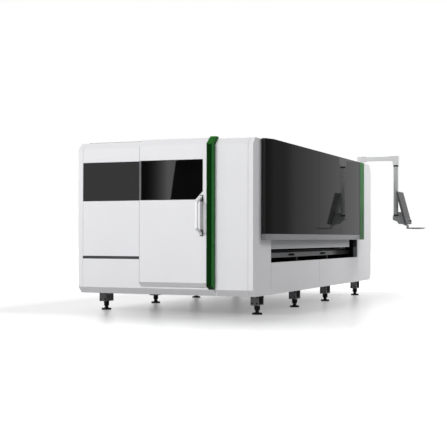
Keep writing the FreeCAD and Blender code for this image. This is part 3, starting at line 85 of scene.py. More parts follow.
level_ahead = Vector((-math.sin(YAW), math.cos(YAW), 0))
level_right = Vector((math.cos(YAW), math.sin(YAW), 0))
ahead = math.cos(PITCH) * level_ahead + Vector((0, 0, math.sin(PITCH)))
level_up = level_right.cross(ahead)
picture_right = math.cos(ROLL) * level_right + math.sin(ROLL) * level_up
picture_up = math.cos(ROLL) * level_up - math.sin(ROLL) * level_right

camera_data = bpy.data.cameras.new("photographer")
camera_data.sensor_fit = "HORIZONTAL"
camera_data.sensor_width = SENSOR_WIDTH
camera_data.lens = FOCAL_PIXELS * SENSOR_WIDTH / PICTURE_PIXELS
camera_data.clip_end = FARTHEST_SEEN
camera = new_object("photographer", camera_data)
turn = Matrix((picture_right, picture_up, -ahead)).transposed()
camera.matrix_world = Matrix.Translation(EYE) @ turn.to_4x4()
bpy.context.scene.camera = camera
print("lens", round(camera_data.lens, 1), "mm")

# %% [markdown]
# ## Colours and sums
# A colour is written here as a screen shows it, from 0 to 255, while Blender counts light in linear
# steps, so one helper turns the first into the second. Masks and patterns come from small sums.
# Each could be typed out as a node and its links, but a helper keeps every sum on one line.

# %% A colour helper
def paint(red, green, blue):
    """A colour as a screen shows it, 0 to 255, turned into Blender's linear values."""
    linear = []
    for value in (red, green, blue):
        share = value / 255
        linear.append(share / 12.92 if share <= 0.04045 else ((share + 0.055) / 1.055) ** 2.4)
    return (*linear, 1.0)


print("mid grey", [round(c, 3) for c in paint(128, 128, 128)])

# %% Sum helpers for node trees
def feed(tree, value, socket):
    """Gives a socket its value, which is a plain one or another node's output."""
    if isinstance(value, bpy.types.NodeSocket):
        tree.links.new(value, socket)
    else:
        socket.default_value = value


def add_node(tree, kind, **values):
    """A new node whose named sockets get their values."""
    node = tree.nodes.new(kind)
    for label, value in values.items():
        feed(tree, value, node.inputs[label])
    return node


def math_node(tree, operation, first, second=0.0, clamp=False):
    node = tree.nodes.new("ShaderNodeMath")
    node.operation = operation
    node.use_clamp = clamp
    feed(tree, first, node.inputs[0])
    feed(tree, second, node.inputs[1])
    return node.outputs[0]


def times(tree, first, second, clamp=False):
    return math_node(tree, "MULTIPLY", first, second, clamp)


def ramp(tree, value, span, levels):
    """Stretches a value that runs over one span, so that it runs between two levels."""
    node = add_node(tree, "ShaderNodeMapRange", Value=value)
    for label, number in zip(("From Min", "From Max", "To Min", "To Max"), (*span, *levels)):
        node.inputs[label].default_value = number
    return node.outputs[0]


def above(tree, value, level, steepness):
    """0 where a value is under a level, rising to 1 past it."""
    excess = math_node(tree, "SUBTRACT", value, level)
    return times(tree, excess, steepness, clamp=True)


def place_parts(tree):
    """The X, Y and Z of the point being coloured, in metres on the machine."""
    place = tree.nodes.new("ShaderNodeTexCoord")
    return add_node(tree, "ShaderNodeSeparateXYZ", Vector=place.outputs["Object"]).outputs


WHOLE = (0.0, 1.0)
print("sum helpers ready")

# %% [markdown]
# ## The studio
# The picture is a white room. Strong white light would bleach the machine, so the world is white
# only for the camera, for reflections and through glass, and a softer level of it lights the
# machine. Three broad lamps do the rest. The one in front of the door end is why that end is the
# brightest, one beyond the far end rakes along the side wall, and one behind lights the back.

# %% The world
SOFT_LIGHT = 0.4
WHITE = (1, 1, 1, 1)

world = bpy.data.worlds.new("studio")
bpy.context.scene.world = world
world.use_nodes = True
tree = world.node_tree
tree.nodes.clear()
path = tree.nodes.new("ShaderNodeLightPath")
seen = math_node(tree, "ADD", path.outputs["Is Camera Ray"], path.outputs["Is Glossy Ray"])
seen = math_node(tree, "ADD", seen, path.outputs["Is Transmission Ray"], clamp=True)
choose = add_node(tree, "ShaderNodeMixShader", Fac=seen)
for socket, strength in zip(choose.inputs[1:], (SOFT_LIGHT, 1.0)):
    background = add_node(tree, "ShaderNodeBackground", Color=WHITE, Strength=strength)
    tree.links.new(background.outputs[0], socket)
add_node(tree, "ShaderNodeOutputWorld", Surface=choose.outputs[0])
print("soft light", SOFT_LIGHT)

# %% The lamps
def soft_lamp(name, place, target, width, height, watts):
    """A broad lamp that lights the machine and that neither the camera nor a mirror sees."""
    data = bpy.data.lights.new(name, "AREA")
    data.shape = "RECTANGLE"
    data.size = width
    data.size_y = height
    data.energy = watts
    lamp = new_object(name, data)
    away = (Vector(place) - Vector(target)).normalized()
    facing = away.to_track_quat("Z", "Y").to_matrix().to_4x4()
    lamp.matrix_world = Matrix.Translation(place) @ facing
    lamp.visible_camera = False
    lamp.visible_glossy = False


soft_lamp("front lamp", (-3.0, -13.0, 5.5), (-0.3, -2.6, 1.0), width=4.0, height=2.8, watts=840)
soft_lamp("far side lamp", (6.8, 6.0, 4.6), (0.64, -0.5, 1.0), width=4.0, height=3.0, watts=415)
soft_lamp("back lamp", (-8.0, 10.0, 5.5), (-0.5, 1.0, 1.0), width=5.0, height=3.5, watts=420)
print(len(bpy.data.lights), "lamps")

# %% [markdown]
# ## The floor
# The real floor is white and a little glossy, and it keeps a soft shadow under the machine. A floor
# bright enough to look white would light the machine from below, so this one is a plain pale grey.
# What the camera sees of it is lifted to white by a glow that no other ray meets, and the glow is
# weaker near the machine, so that the shadow shows.

# %% The floor's mesh
FLOOR_REACH = 60.0

floor_mesh = bpy.data.meshes.new("studio_floor")
corners = [(x * FLOOR_REACH, y * FLOOR_REACH, 0) for x, y in ((-1, -1), (1, -1), (1, 1), (-1, 1))]
floor_mesh.from_pydata(corners, [], [(0, 1, 2, 3)])
floor = new_object("studio_floor", floor_mesh)
print("floor", 2 * FLOOR_REACH, "m wide")

# %% A helper that starts a material
def material(name, roughness, metallic=0.0, shine=None):
    made = bpy.data.materials.new(name)
    made.use_nodes = True
    shader = made.node_tree.nodes["Principled BSDF"]
    shader.inputs["Roughness"].default_value = roughness
    shader.inputs["Metallic"].default_value = metallic
    if shine is not None:
        shader.inputs["Specular IOR Level"].default_value = shine
    return made, made.node_tree, shader


# %% The floor's finish
FLOOR_COLOUR = (0.55, 0.55, 0.555, 1)
SHADE_MIDDLE = {"X": -0.82, "Y": 0.08}
SHADE_HALF = {"X": 1.46, "Y": 2.615}
LIFT_SPAN = (0.3, 2.1)
LIFT_LEVELS = (0.26, 0.74)

floor_finish, tree, shader = material("pale studio floor", roughness=0.25, shine=0.12)
shader.inputs["Base Color"].default_value = FLOOR_COLOUR
spot = place_parts(tree)
gaps = []
for axis, middle in SHADE_MIDDLE.items():
    offset = math_node(tree, "ABSOLUTE", math_node(tree, "SUBTRACT", spot[axis], middle))
    gap = math_node(tree, "MAXIMUM", math_node(tree, "SUBTRACT", offset, SHADE_HALF[axis]))
    gaps.append(times(tree, gap, gap))
distance = math_node(tree, "SQRT", math_node(tree, "ADD", *gaps))
glow = ramp(tree, distance, LIFT_SPAN, LIFT_LEVELS)
path = tree.nodes.new("ShaderNodeLightPath")
glow = times(tree, path.outputs["Is Camera Ray"], glow)
lift = add_node(tree, "ShaderNodeEmission", Strength=glow)
both = tree.nodes.new("ShaderNodeAddShader")
tree.links.new(shader.outputs[0], both.inputs[0])
tree.links.new(lift.outputs[0], both.inputs[1])
tree.links.new(both.outputs[0], tree.nodes["Material Output"].inputs["Surface"])
floor_mesh.materials.append(floor_finish)
bpy.context.scene.view_settings.view_transform = "Standard"
print("floor lifted by", LIFT_LEVELS)

# %% [markdown]
# ## Cards for the panes to mirror
# A dark pane shows little of its own and much of what stands before it. A studio hangs grey cards
# where the pane will mirror them, and so does this one: one beside the machine, darker towards its
# near end, and one behind the camera with a slanting edge. The same tones painted on the panes
# would stay when the cover lifts. Only reflections see the cards: they light nothing and cast no
# shadow.

# %% A card that only mirrors see
def reflection_card(name, path, span, glow):
    """An upright folded card along a path in x and y. glow(tree, x, z) gives its strength."""
    count = len(path)
    mesh = bpy.data.meshes.new(name)
    corners = [(x, y, z) for z in span for x, y in path]
    folds = [(i, i + 1, i + 1 + count, i + count) for i in range(count - 1)]
    mesh.from_pydata(corners, [], folds)
    card = new_object(name, mesh)
    finish = bpy.data.materials.new(name)
    finish.use_nodes = True
    tree = finish.node_tree
    tree.nodes.remove(tree.nodes["Principled BSDF"])
    spot = place_parts(tree)
    light = tree.nodes.new("ShaderNodeEmission")
    tree.links.new(glow(tree, spot["X"], spot["Z"]), light.inputs["Strength"])
    tree.links.new(light.outputs[0], tree.nodes["Material Output"].inputs["Surface"])
    mesh.materials.append(finish)
    card.visible_camera = False
    card.visible_diffuse = False
    card.visible_transmission = False
    card.visible_shadow = False


# %% The card beside the machine
SIDE_PATH = [(1.7, 6), (6, 6), (9, 3), (9, -9)]
SIDE_SPAN = (-0.2, 5)
SIDE_FADE = (3.95, 1.9)
SIDE_CURVE = 1.6
SIDE_LEVELS = (0.1, 0.5)


def side_glow(tree, x, z):
    rise = math_node(tree, "POWER", ramp(tree, x, SIDE_FADE, WHOLE), SIDE_CURVE)
    return ramp(tree, rise, WHOLE, SIDE_LEVELS)


reflection_card("side_card", SIDE_PATH, SIDE_SPAN, side_glow)
print("side card fades from", SIDE_LEVELS[1], "to", SIDE_LEVELS[0])

# %% The card behind the camera
WINDOW_PATH = [(-6.12, -13), (-4.2, -13)]
WINDOW_SPAN = (0.6, 3.6)
WINDOW_FADE = (-6.05, -5.4)
WINDOW_CURVE = 2.5
WINDOW_LEVEL = 2.2
EDGE_X = -5.337
EDGE_Z = 1.739
EDGE_SLANT = 0.152


def window_glow(tree, x, z):
    rise = math_node(tree, "POWER", ramp(tree, x, WINDOW_FADE, WHOLE), WINDOW_CURVE)
    climb = times(tree, math_node(tree, "SUBTRACT", z, EDGE_Z), EDGE_SLANT)
    lit = math_node(tree, "LESS_THAN", x, math_node(tree, "ADD", climb, EDGE_X))
    return times(tree, times(tree, rise, WINDOW_LEVEL), lit)


reflection_card("window_card", WINDOW_PATH, WINDOW_SPAN, window_glow)
print("window card slants", EDGE_SLANT, "m for each metre of height")

# %% [markdown]
# ## Effects that several finishes share
# A node group has named sockets: it is built once, and each material places it with its own values.
# Copying its nodes into each material would work too, but every change would then be made many
# times. These groups put out only numbers that change over the surface, and the Principled shader
# stays in the material. All of them read Object coordinates, which are metres on the machine
# itself, because every piece sits at the origin.

# %% Helpers that start a group and place a noise
def add_socket(group, name, way, kind="NodeSocketFloat"):
    return group.interface.new_socket(name=name, in_out=way, socket_type=kind)


def start_group(name, inputs, outputs):
    """A new shader group with number sockets. Returns it, its two ends and its coordinates."""
    group = bpy.data.node_groups.new(name, "ShaderNodeTree")
    for label, value in inputs.items():
        add_socket(group, label, "INPUT").default_value = value
    for label in outputs:
        add_socket(group, label, "OUTPUT")
    given = group.nodes.new("NodeGroupInput")
    result = group.nodes.new("NodeGroupOutput")
    place = group.nodes.new("ShaderNodeTexCoord")
    return group, given.outputs, result.inputs, place.outputs["Object"]


def noise_node(tree, vector, scale, detail=3.0, roughness=0.5):
    node = add_node(
        tree, "ShaderNodeTexNoise", Vector=vector, Scale=scale, Detail=detail, Roughness=roughness
    )
    return node.outputs["Fac"]


# %% Orange peel: the small waves of baked powder paint
peel, given, result, place = start_group(
    "Orange Peel", {"Scale": 500.0, "Depth": 0.5}, ["Height", "Shade"]
)
waves = noise_node(peel, place, given["Scale"], detail=2.0)
peel.links.new(times(peel, waves, given["Depth"]), result["Height"])
peel.links.new(noise_node(peel, place, scale=1.3), result["Shade"])
print(peel.name, "made")

# %% Workshop dust: thicker low down and on what faces up
TOP_SHARE = 0.35

dust, given, result, place = start_group("Workshop Dust", {"Amount": 0.3, "Reach": 0.9}, ["Mask"])
low = math_node(dust, "DIVIDE", place_parts(dust)["Z"], given["Reach"])
low = math_node(dust, "SUBTRACT", 1.0, low, clamp=True)
clouds = noise_node(dust, place, scale=4.0, detail=5.0, roughness=0.6)
patch = times(dust, low, clouds)
surface = dust.nodes.new("ShaderNodeNewGeometry")
facing = add_node(dust, "ShaderNodeSeparateXYZ", Vector=surface.outputs["Normal"])
top = times(dust, facing.outputs["Z"], TOP_SHARE, clamp=True)
both = math_node(dust, "ADD", patch, times(dust, top, clouds))
dust.links.new(times(dust, both, given["Amount"], clamp=True), result["Mask"])
print(dust.name, "made")

# %% Scuffs: short fine scratches, in patches and not everywhere
SCRATCH_TURN = (0.5, 0.3, 0.8)
SCRATCH_STRETCH = (1.0, 0.05, 0.35)

scuffs, given, result, place = start_group("Scuffs", {"Amount": 0.3}, ["Mask"])
bent = add_node(
    scuffs, "ShaderNodeMapping", Vector=place, Rotation=SCRATCH_TURN, Scale=SCRATCH_STRETCH
)
hairs = noise_node(scuffs, bent.outputs["Vector"], scale=260.0, detail=2.0, roughness=0.4)
hairs = above(scuffs, hairs, level=0.68, steepness=12.0)
patches = noise_node(scuffs, place, scale=5.0, detail=2.0)
patches = above(scuffs, patches, level=0.5, steepness=6.0)
both = times(scuffs, hairs, patches)
scuffs.links.new(times(scuffs, both, given["Amount"]), result["Mask"])
print(scuffs.name, "made")

# %% Brushed lines: a ground or drawn surface, with its lines along one axis
LINE_SHARE = 0.6


def brushed_group(name, stretch):
    group, given, result, place = start_group(name, {"Scale": 400.0}, ["Height", "Shade"])
    squeeze = add_node(group, "ShaderNodeMapping", Vector=place, Scale=stretch)
    lines = noise_node(group, squeeze.outputs["Vector"], given["Scale"], roughness=0.6)
    broad = noise_node(group, place, scale=9.0)
    group.links.new(lines, result["Height"])
    lines = times(group, lines, LINE_SHARE)
    broad = times(group, broad, 1 - LINE_SHARE)
    group.links.new(math_node(group, "ADD", lines, broad), result["Shade"])
    return group


lines_along = brushed_group("Lines Along The Machine", stretch=(1.0, 0.03, 1.0))
lines_across = brushed_group("Lines Across The Machine", stretch=(0.03, 1.0, 1.0))
lines_up = brushed_group("Lines Up And Down", stretch=(1.0, 1.0, 0.03))
print("three groups of brushed lines made")

# %% Scorch: heat colours and spatter on what lies under the cutting beam
DROP_SCALE = 160.0
DROP_RADIUS = 0.28

scorch, given, result, place = start_group("Scorch", {"Scale": 14.0}, ["Burn", "Spatter"])
burn = noise_node(scorch, place, given["Scale"], detail=6.0, roughness=0.65)
scorch.links.new(above(scorch, burn, level=0.42, steepness=4.0), result["Burn"])
dots = add_node(scorch, "ShaderNodeTexVoronoi", Vector=place, Scale=DROP_SCALE)
drops = above(scorch, DROP_RADIUS, level=dots.outputs["Distance"], steepness=5.0)
scorch.links.new(drops, result["Spatter"])
print([group.name for group in bpy.data.node_groups])

# %% [markdown]
# ## The finishes
# Each finish below is a Principled material with the shared effects placed in it. Colours are laid
# one over another by a mask, from the paint up to the dust, in the order in which a real machine
# gets them. Between the paint and the dust, some powder coats also lay zones of painted light and
# shade. A picture of worn paint would be quicker, but it would stretch over the folds and say
# nothing about the sides that no picture shows.

# %% Helpers for a finish
def place_group(tree, group, **values):
    """Places a shared group with its own values and returns its outputs."""
    node = tree.nodes.new("ShaderNodeGroup")
    node.node_tree = group
    for label, value in values.items():
        node.inputs[label].default_value = value
    return node.outputs


def blend_colours(tree, share, first, second):
    """Mixes two colours by a share between 0 and 1."""
    mix = tree.nodes.new("ShaderNodeMix")
    mix.data_type = "RGBA"
    tree.links.new(share, mix.inputs["Factor"])
    for label, value in (("A", first), ("B", second)):
        socket = [s for s in mix.inputs if s.name == label and s.type == "RGBA"][0]
        feed(tree, value, socket)
    return [s for s in mix.outputs if s.type == "RGBA"][0]


def mottled(tree, share, colour, darkest, palest):
    """A colour that wanders between a darker and a paler version of itself."""
    tones = [(*[min(1.0, c * factor) for c in colour[:3]], 1.0) for factor in (darkest, palest)]
    return blend_colours(tree, share, *tones)


def uneven_gloss(tree, shader, share, roughness, less, more):
    """Lets the roughness wander from a little less than its value to a little more."""
    rough = ramp(tree, share, WHOLE, (roughness - less, roughness + more))
    tree.links.new(rough, shader.inputs["Roughness"])


def bump(tree, shader, height, distance, strength):
    node = add_node(tree, "ShaderNodeBump", Height=height, Distance=distance, Strength=strength)
    tree.links.new(node.outputs[0], shader.inputs["Normal"])


# %% [markdown]
# ## Powder coat
# Sheet machines are sprayed with powder paint and baked, so most of this one is a fine-grained
# satin coat, and the green bar is a glossier one. One function makes every coat: paint with a slow
# change of tone, dust that gathers low down and on top, and a few scuffs. A zone along one axis lays
# a second colour over part of a piece, since cutting the piece in two would show a joint. On the
# green bar and the bed the zones are painted light and shade: painted highlights on the bar's right
# face and crown, painted shade in the bed's inside, and a paler tone that lights the leg blocks.

# %% A function for every coat
DUST_COLOUR = paint(176, 168, 156)
SCUFF_SHADE = 0.72
ROUGHNESS_SPREAD = 0.05
DUST_ROUGHENS = 0.4
SCUFFS_ROUGHEN = 0.25


def powder_coat(
    name, colour, roughness, grain=700.0, dust_amount=0.12, dust_reach=0.9, mottle=0.03,
    scuffing=0.25, zones=(), shine=None,
):
    """Baked paint. A zone is (axis, where it starts and where it is full, its colour)."""
    made, tree, shader = material(name, roughness, shine=shine)
    waves = place_group(tree, peel, Scale=grain, Depth=0.5)
    dirt = place_group(tree, dust, Amount=dust_amount, Reach=dust_reach)["Mask"]
    marks = place_group(tree, scuffs, Amount=scuffing)["Mask"]
    base = mottled(tree, waves["Shade"], colour, 1 - mottle, 1 + mottle)
    # Each zone lays a second colour; the green bar's and the bed's zones are painted light and
    # shade.
    for axis, span, zone_colour in zones:
        share = ramp(tree, place_parts(tree)[axis], span, WHOLE)
        base = blend_colours(tree, share, base, zone_colour)
    base = blend_colours(tree, dirt, base, DUST_COLOUR)
    worn = (*[c * SCUFF_SHADE for c in colour[:3]], 1.0)
    tree.links.new(blend_colours(tree, marks, base, worn), shader.inputs["Base Color"])
    levels = (roughness - ROUGHNESS_SPREAD, roughness + ROUGHNESS_SPREAD)
    rough = ramp(tree, waves["Shade"], WHOLE, levels)
    for mask, share in ((dirt, DUST_ROUGHENS), (marks, SCUFFS_ROUGHEN)):
        rough = math_node(tree, "ADD", rough, times(tree, mask, share), clamp=True)
    tree.links.new(rough, shader.inputs["Roughness"])
    relief = math_node(tree, "SUBTRACT", waves["Height"], marks)
    bump(tree, shader, relief, distance=0.0004, strength=0.25)
    return made


# %% The casing's coats
# Painted highlights on the green bar: its right face and its crown are painted paler than its dark
# front, where the light falls on them.
BAR_SIDE_PAINTED_HIGHLIGHT = (0.172, 0.178)
BAR_CROWN_PAINTED_HIGHLIGHT = (1.925, 1.94)

white_coat = powder_coat("white powder coat", paint(230, 230, 232), 0.38, dust_amount=0.06)
door_coat = powder_coat("white door coat", paint(231, 231, 233), 0.36, dust_amount=0.05)
# Dark green, with a painted highlight on the right face and on the crown.
green_coat = powder_coat(
    "gloss green coat with painted highlights", paint(0, 42, 2), 0.3, grain=400.0, dust_amount=0.01, mottle=0.06,
    shine=0.06, zones=[("X", BAR_SIDE_PAINTED_HIGHLIGHT, paint(40, 116, 50)), ("Z", BAR_CROWN_PAINTED_HIGHLIGHT, paint(0, 96, 2))],
)
satin_green_coat = powder_coat(
    "satin green coat", paint(52, 122, 60), 0.45, grain=400.0, dust_amount=0.03, shine=0.4
)
grip_coat = powder_coat("white grip coat", paint(248, 248, 249), 0.3, dust_amount=0.02)
plate_coat = powder_coat("grey grip plate coat", paint(150, 148, 152), 0.4, dust_amount=0.02)
rail_coat = powder_coat("grey rail coat", paint(152, 152, 155), 0.4)
# The cover's skirt is painted grey: painted shade under the cover.
skirt_coat_painted_shade = powder_coat("skirt coat with painted shade", paint(186, 187, 189), 0.42)
print("casing coats made")

# %% The coats under and inside the casing
# Painted shade and light on the bed: inwards of the beam's face, towards the far end and under the
# beam it is painted nearly black as shade, and the leg blocks are painted paler to light their
# fronts, which the cabin's bottom shades.
SHADE_BEYOND_BEAM_FACE = (0.43, 0.41)
FAR_END_SHADE = (0.8, 1.15)
SHADE_UNDER_BEAM_FOOT = (0.6425, 0.6405)
LEG_BLOCKS_PAINTED_LIGHT = (0.262, 0.25)

frame_coat = powder_coat("black frame coat", paint(46, 47, 50), 0.45, dust_amount=0.25)
foot_coat = powder_coat(
    "black foot coat", paint(6, 6, 7), 0.4, dust_amount=0.03, dust_reach=0.3, shine=0.15
)
# Grey bed with painted shade inside and painted light on the leg blocks.
bed_coat_painted_light_and_shade = powder_coat(
    "grey bed coat with painted light and shade", paint(114, 115, 117), 0.5, dust_amount=0.1, dust_reach=1.1, scuffing=0.5,
    shine=0.15,
    zones=[
        ("X", SHADE_BEYOND_BEAM_FACE, paint(8, 8, 8)), ("Y", FAR_END_SHADE, paint(8, 8, 8)),
        ("Z", SHADE_UNDER_BEAM_FOOT, paint(6, 6, 6)), ("Z", LEG_BLOCKS_PAINTED_LIGHT, paint(136, 136, 138)),
    ],
)
table_coat = powder_coat(
    "sooty table coat", paint(44, 43, 42), 0.6, dust_amount=0.3, scuffing=0.6, shine=0.3
)
# Near-black liner: painted shade inside the cabin.
liner_coat_painted_shade = powder_coat("black liner coat for painted shade", paint(8, 8, 9), 0.6, dust_amount=0.02, shine=0.1)
motor_coat = powder_coat("black motor coat", paint(34, 34, 37), 0.48, dust_amount=0.15)
print("inner coats made")

# %% The console's coats
POST_FOOT = (1.2405, 1.2385)

arm_coat = powder_coat("pale arm coat", paint(242, 242, 243), 0.38)
post_coat = powder_coat(
    "grey post coat", paint(204, 204, 206), 0.4, zones=[("Z", POST_FOOT, paint(52, 52, 54))]
)
console_coat = powder_coat("grey console coat", paint(192, 192, 194), 0.42)
screen_coat = powder_coat("dark screen coat", paint(106, 106, 109), 0.42)
tray_coat = powder_coat("grey tray coat", paint(158, 158, 160), 0.42)
print(len(bpy.data.materials), "materials so far")

# %% [markdown]
# ## Panes
# The panes hold back the cutting light, so they are thick tinted plastic that shows almost nothing
# of the inside. Real transmission would cost render time and show only a dark room, so a pane is a
# nearly black, very smooth surface: what one sees in it is the studio and its cards.

# %% A function for every pane
PANE_DUST = 0.015
PANE_DUST_REACH = 3.0
PANE_DUST_ROUGHENS = 0.5
PANE_INDEX = 1.45


def pane_glass(name, colour, roughness):
    """Thick tinted sheet: too dark to see through, smooth enough to mirror the room."""
    made, tree, shader = material(name, roughness)
    waves = place_group(tree, peel, Scale=3.0, Depth=0.3)
    base = mottled(tree, waves["Shade"], colour, darkest=0.85, palest=1.15)
    dirt = place_group(tree, dust, Amount=PANE_DUST, Reach=PANE_DUST_REACH)["Mask"]
    tree.links.new(blend_colours(tree, dirt, base, DUST_COLOUR), shader.inputs["Base Color"])
    rough = math_node(tree, "ADD", roughness, times(tree, dirt, PANE_DUST_ROUGHENS))
    tree.links.new(rough, shader.inputs["Roughness"])
    shader.inputs["IOR"].default_value = PANE_INDEX
    return made


window_glass = pane_glass("dark window pane", paint(7, 7, 8), roughness=0.012)
cover_glass = pane_glass("dark cover pane", paint(14, 15, 14), roughness=0.03)
screen_glass = pane_glass("screen glass", paint(6, 7, 9), roughness=0.08)
print("three kinds of pane made")

# %% [markdown]
# ## Metals
# Rails are ground along the machine, screws and pinions are turned, the beam is anodised and the
# slats are burnt by the work. All of them are metallic with fine lines in one direction, and the
# lines set both the tone and the roughness. Anisotropy would bend the highlights as ground metal
# does, but lines on a few axes look the same from a step away and survive the export.

# %% A function for every metal
SCORCH_SCALE = 14.0
BURNT_COLOUR = paint(74, 52, 40)
SPATTER_COLOUR = paint(40, 38, 38)


def ground_metal(name, colour, group, roughness, scale=400.0, burnt=0.0):
    made, tree, shader = material(name, roughness, metallic=1.0)
    lines = place_group(tree, group, Scale=scale)
    base = mottled(tree, lines["Shade"], colour, darkest=0.8, palest=1.15)
    if burnt:
        heat = place_group(tree, scorch, Scale=SCORCH_SCALE)
        share = times(tree, heat["Burn"], burnt)
        base = blend_colours(tree, share, base, BURNT_COLOUR)
        base = blend_colours(tree, heat["Spatter"], base, SPATTER_COLOUR)
    tree.links.new(base, shader.inputs["Base Color"])
    uneven_gloss(tree, shader, lines["Shade"], roughness, less=0.1, more=0.12)
    bump(tree, shader, lines["Height"], distance=0.0002, strength=0.3)
    return made


# %% The metals
rail_steel = ground_metal("ground rail steel", paint(186, 187, 190), lines_along, 0.25)
track_steel = ground_metal("oiled track steel", paint(42, 41, 40), lines_along, 0.5)
turned_steel = ground_metal("turned steel", paint(178, 179, 182), lines_up, 0.3)
zinc_plate = ground_metal("zinc plate", paint(170, 172, 176), lines_across, 0.42, scale=120.0)
slat_steel = ground_metal(
    "scorched slat steel", paint(70, 64, 58), lines_across, 0.62, scale=200.0, burnt=0.8
)
beam_aluminium = ground_metal(
    "anodised beam", paint(190, 192, 195), lines_across, 0.38, scale=300.0
)
head_aluminium = ground_metal("anodised head", paint(200, 201, 204), lines_up, 0.32, scale=300.0)
print("metals made")

# %% [markdown]
# ## Plastics and rubber
# Runners, glands, seals and buttons are moulded. A mould leaves a fine grain and a slightly uneven
# gloss, so these use the same waves as the paint, finer, and no dust. The caps in the legs are
# nearly matt and stay black under any lamp, and their black is also painted shade on the sides of
# the leg blocks.

# %% The plastics
def moulded(name, colour, roughness, grain=900.0, shine=None):
    made, tree, shader = material(name, roughness, shine=shine)
    waves = place_group(tree, peel, Scale=grain, Depth=0.6)
    base = mottled(tree, waves["Shade"], colour, darkest=0.9, palest=1.12)
    tree.links.new(base, shader.inputs["Base Color"])
    uneven_gloss(tree, shader, waves["Shade"], roughness, less=0.06, more=0.08)
    bump(tree, shader, waves["Height"], distance=0.0003, strength=0.3)
    return made


black_plastic = moulded("black plastic", paint(30, 30, 32), 0.45)
red_plastic = moulded("red button plastic", paint(118, 12, 11), 0.35)
green_plastic = moulded("green button plastic", paint(30, 150, 60), 0.3)
seal_rubber = moulded("black seal rubber", paint(18, 18, 19), 0.62, grain=400.0)
block_plastic = moulded("dark handle plastic", paint(62, 59, 65), 0.4)
# Nearly black and matt: the caps' own plastic, and painted shade on the leg blocks' sides.
cap_plastic_painted_shade = moulded("black cap plastic with painted shade", paint(9, 9, 10), 0.6, shine=0.1)
print(len(bpy.data.materials), "materials")

# %% [markdown]
# ## Which piece wears which finish
# Folded sheet has rounded folds, not knife edges, and a rounded fold is what catches the light. To
# round them in the CAD would cost thousands of faces, so each outer piece is copied from it, its
# loose triangles are joined into whole faces, and a Bevel modifier rounds its edges. The copy
# stands in for the CAD node. The far doors' hinge knuckles turn in one another and stay sharp, so
# that no rounding fills their gap. Pieces hidden deep inside keep the CAD mesh and only change
# material.

# %% Join a CAD mesh and round its edges
SAME_POINT = 2e-5
FLAT_ENOUGH = math.radians(0.6)
FOLD_ANGLE = math.radians(28)
EDGE_SEGMENTS = 2


def round_edges(piece, width, chosen_by):
    soft = piece.modifiers.new("round edges", "BEVEL")
    soft.width = width
    soft.segments = EDGE_SEGMENTS
    soft.limit_method = chosen_by
    soft.angle_limit = FOLD_ANGLE
    soft.harden_normals = True


def rounded(node, finish, width, shortest):
    """A copy of a CAD node with rounded edges. Those up to shortest stay sharp."""
    mesh = nodes[node].data.copy()
    work = bmesh.new()
    work.from_mesh(mesh)
    bmesh.ops.remove_doubles(work, verts=work.verts, dist=SAME_POINT)
    bmesh.ops.dissolve_limit(work, angle_limit=FLAT_ENOUGH, verts=work.verts, edges=work.edges)
    for face in work.faces:
        face.smooth = True
    softened = work.edges.layers.float.new("bevel_weight_edge")
    for edge in work.edges:
        edge.smooth = len(edge.link_faces) == 2 and edge.calc_face_angle(0) < FOLD_ANGLE
        edge[softened] = 1.0 if not edge.smooth and edge.calc_length() > shortest else 0.0
    work.to_mesh(mesh)
    work.free()
    mesh.materials.clear()
    mesh.materials.append(finish)
    mesh.name = f"{node}_dressed"
    copy = new_object(f"{node}_dressed", mesh)
    round_edges(copy, width, "WEIGHT")
    even = copy.modifiers.new("even shading", "WEIGHTED_NORMAL")
    even.keep_sharp = True
    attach(copy, body_of_node[node])
    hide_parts(node)


# %% Dress the outer pieces: each one's finish, and how far its edges are rounded, in metres
HINGED = ["far_cabinet", "rear_door_left", "rear_door_right"]
KNUCKLE_LENGTH = 0.08
CASING = [
    "front_panel_left", "front_panel_lower", "front_panel_right", "side_wall_near",
    "side_panels_low", "side_header", "left_wall_panels", "roof_panel", *HINGED,
]
OUTSIDE = {name: (white_coat, 0.001) for name in CASING}
OUTSIDE |= {
    "sliding_door": (door_coat, 0.001),
    "front_trim_bar": (green_coat, 0.002),
    "cover_trim": (satin_green_coat, 0.001),
    "cover_frame": (rail_coat, 0.001),
    "cover_skirt": (skirt_coat_painted_shade, 0.0008),
    "cover_panes": (cover_glass, 0.001),
    "door_window": (window_glass, 0.0008),
    "window_left": (window_glass, 0.0008),
    "door_handle": (grip_coat, 0.007),
    "handle_mounts": (black_plastic, 0.002),
    "console_box": (console_coat, 0.002),
    "screen_housing": (screen_coat, 0.004),
    "screen_glass": (screen_glass, 0.0005),
    "keyboard_tray": (tray_coat, 0.001),
    "pendant_arm": (arm_coat, 0.01),
    "pendant_post": (post_coat, 0.002),
    "arm_collar": (black_plastic, 0.001),
    "arm_bracket": (arm_coat, 0.002),
    "levelling_feet": (foot_coat, 0.001),
    "foot_lock_nuts": (foot_coat, 0.001),
    "bed_frame": (bed_coat_painted_light_and_shade, 0.003),
    "fume_collar": (zinc_plate, 0.0006),
    "power_gland": (black_plastic, 0.001),
    "start_button": (green_plastic, 0.0008),
    "gantry_beam": (beam_aluminium, 0.002),
    "gantry_ends": (beam_aluminium, 0.002),
    "carriage_plate": (beam_aluminium, 0.0015),
    "head_slide": (beam_aluminium, 0.0012),
    "travel_motors": (motor_coat, 0.003),
    "carriage_motor": (motor_coat, 0.003),
    "head_motor": (motor_coat, 0.003),
    "laser_source": (arm_coat, 0.002),
    "drive_units": (console_coat, 0.002),
}
for name, (finish, width) in OUTSIDE.items():
    rounded(name, finish, width, shortest=KNUCKLE_LENGTH if name in HINGED else 0.0)
print(len(OUTSIDE), "pieces dressed")

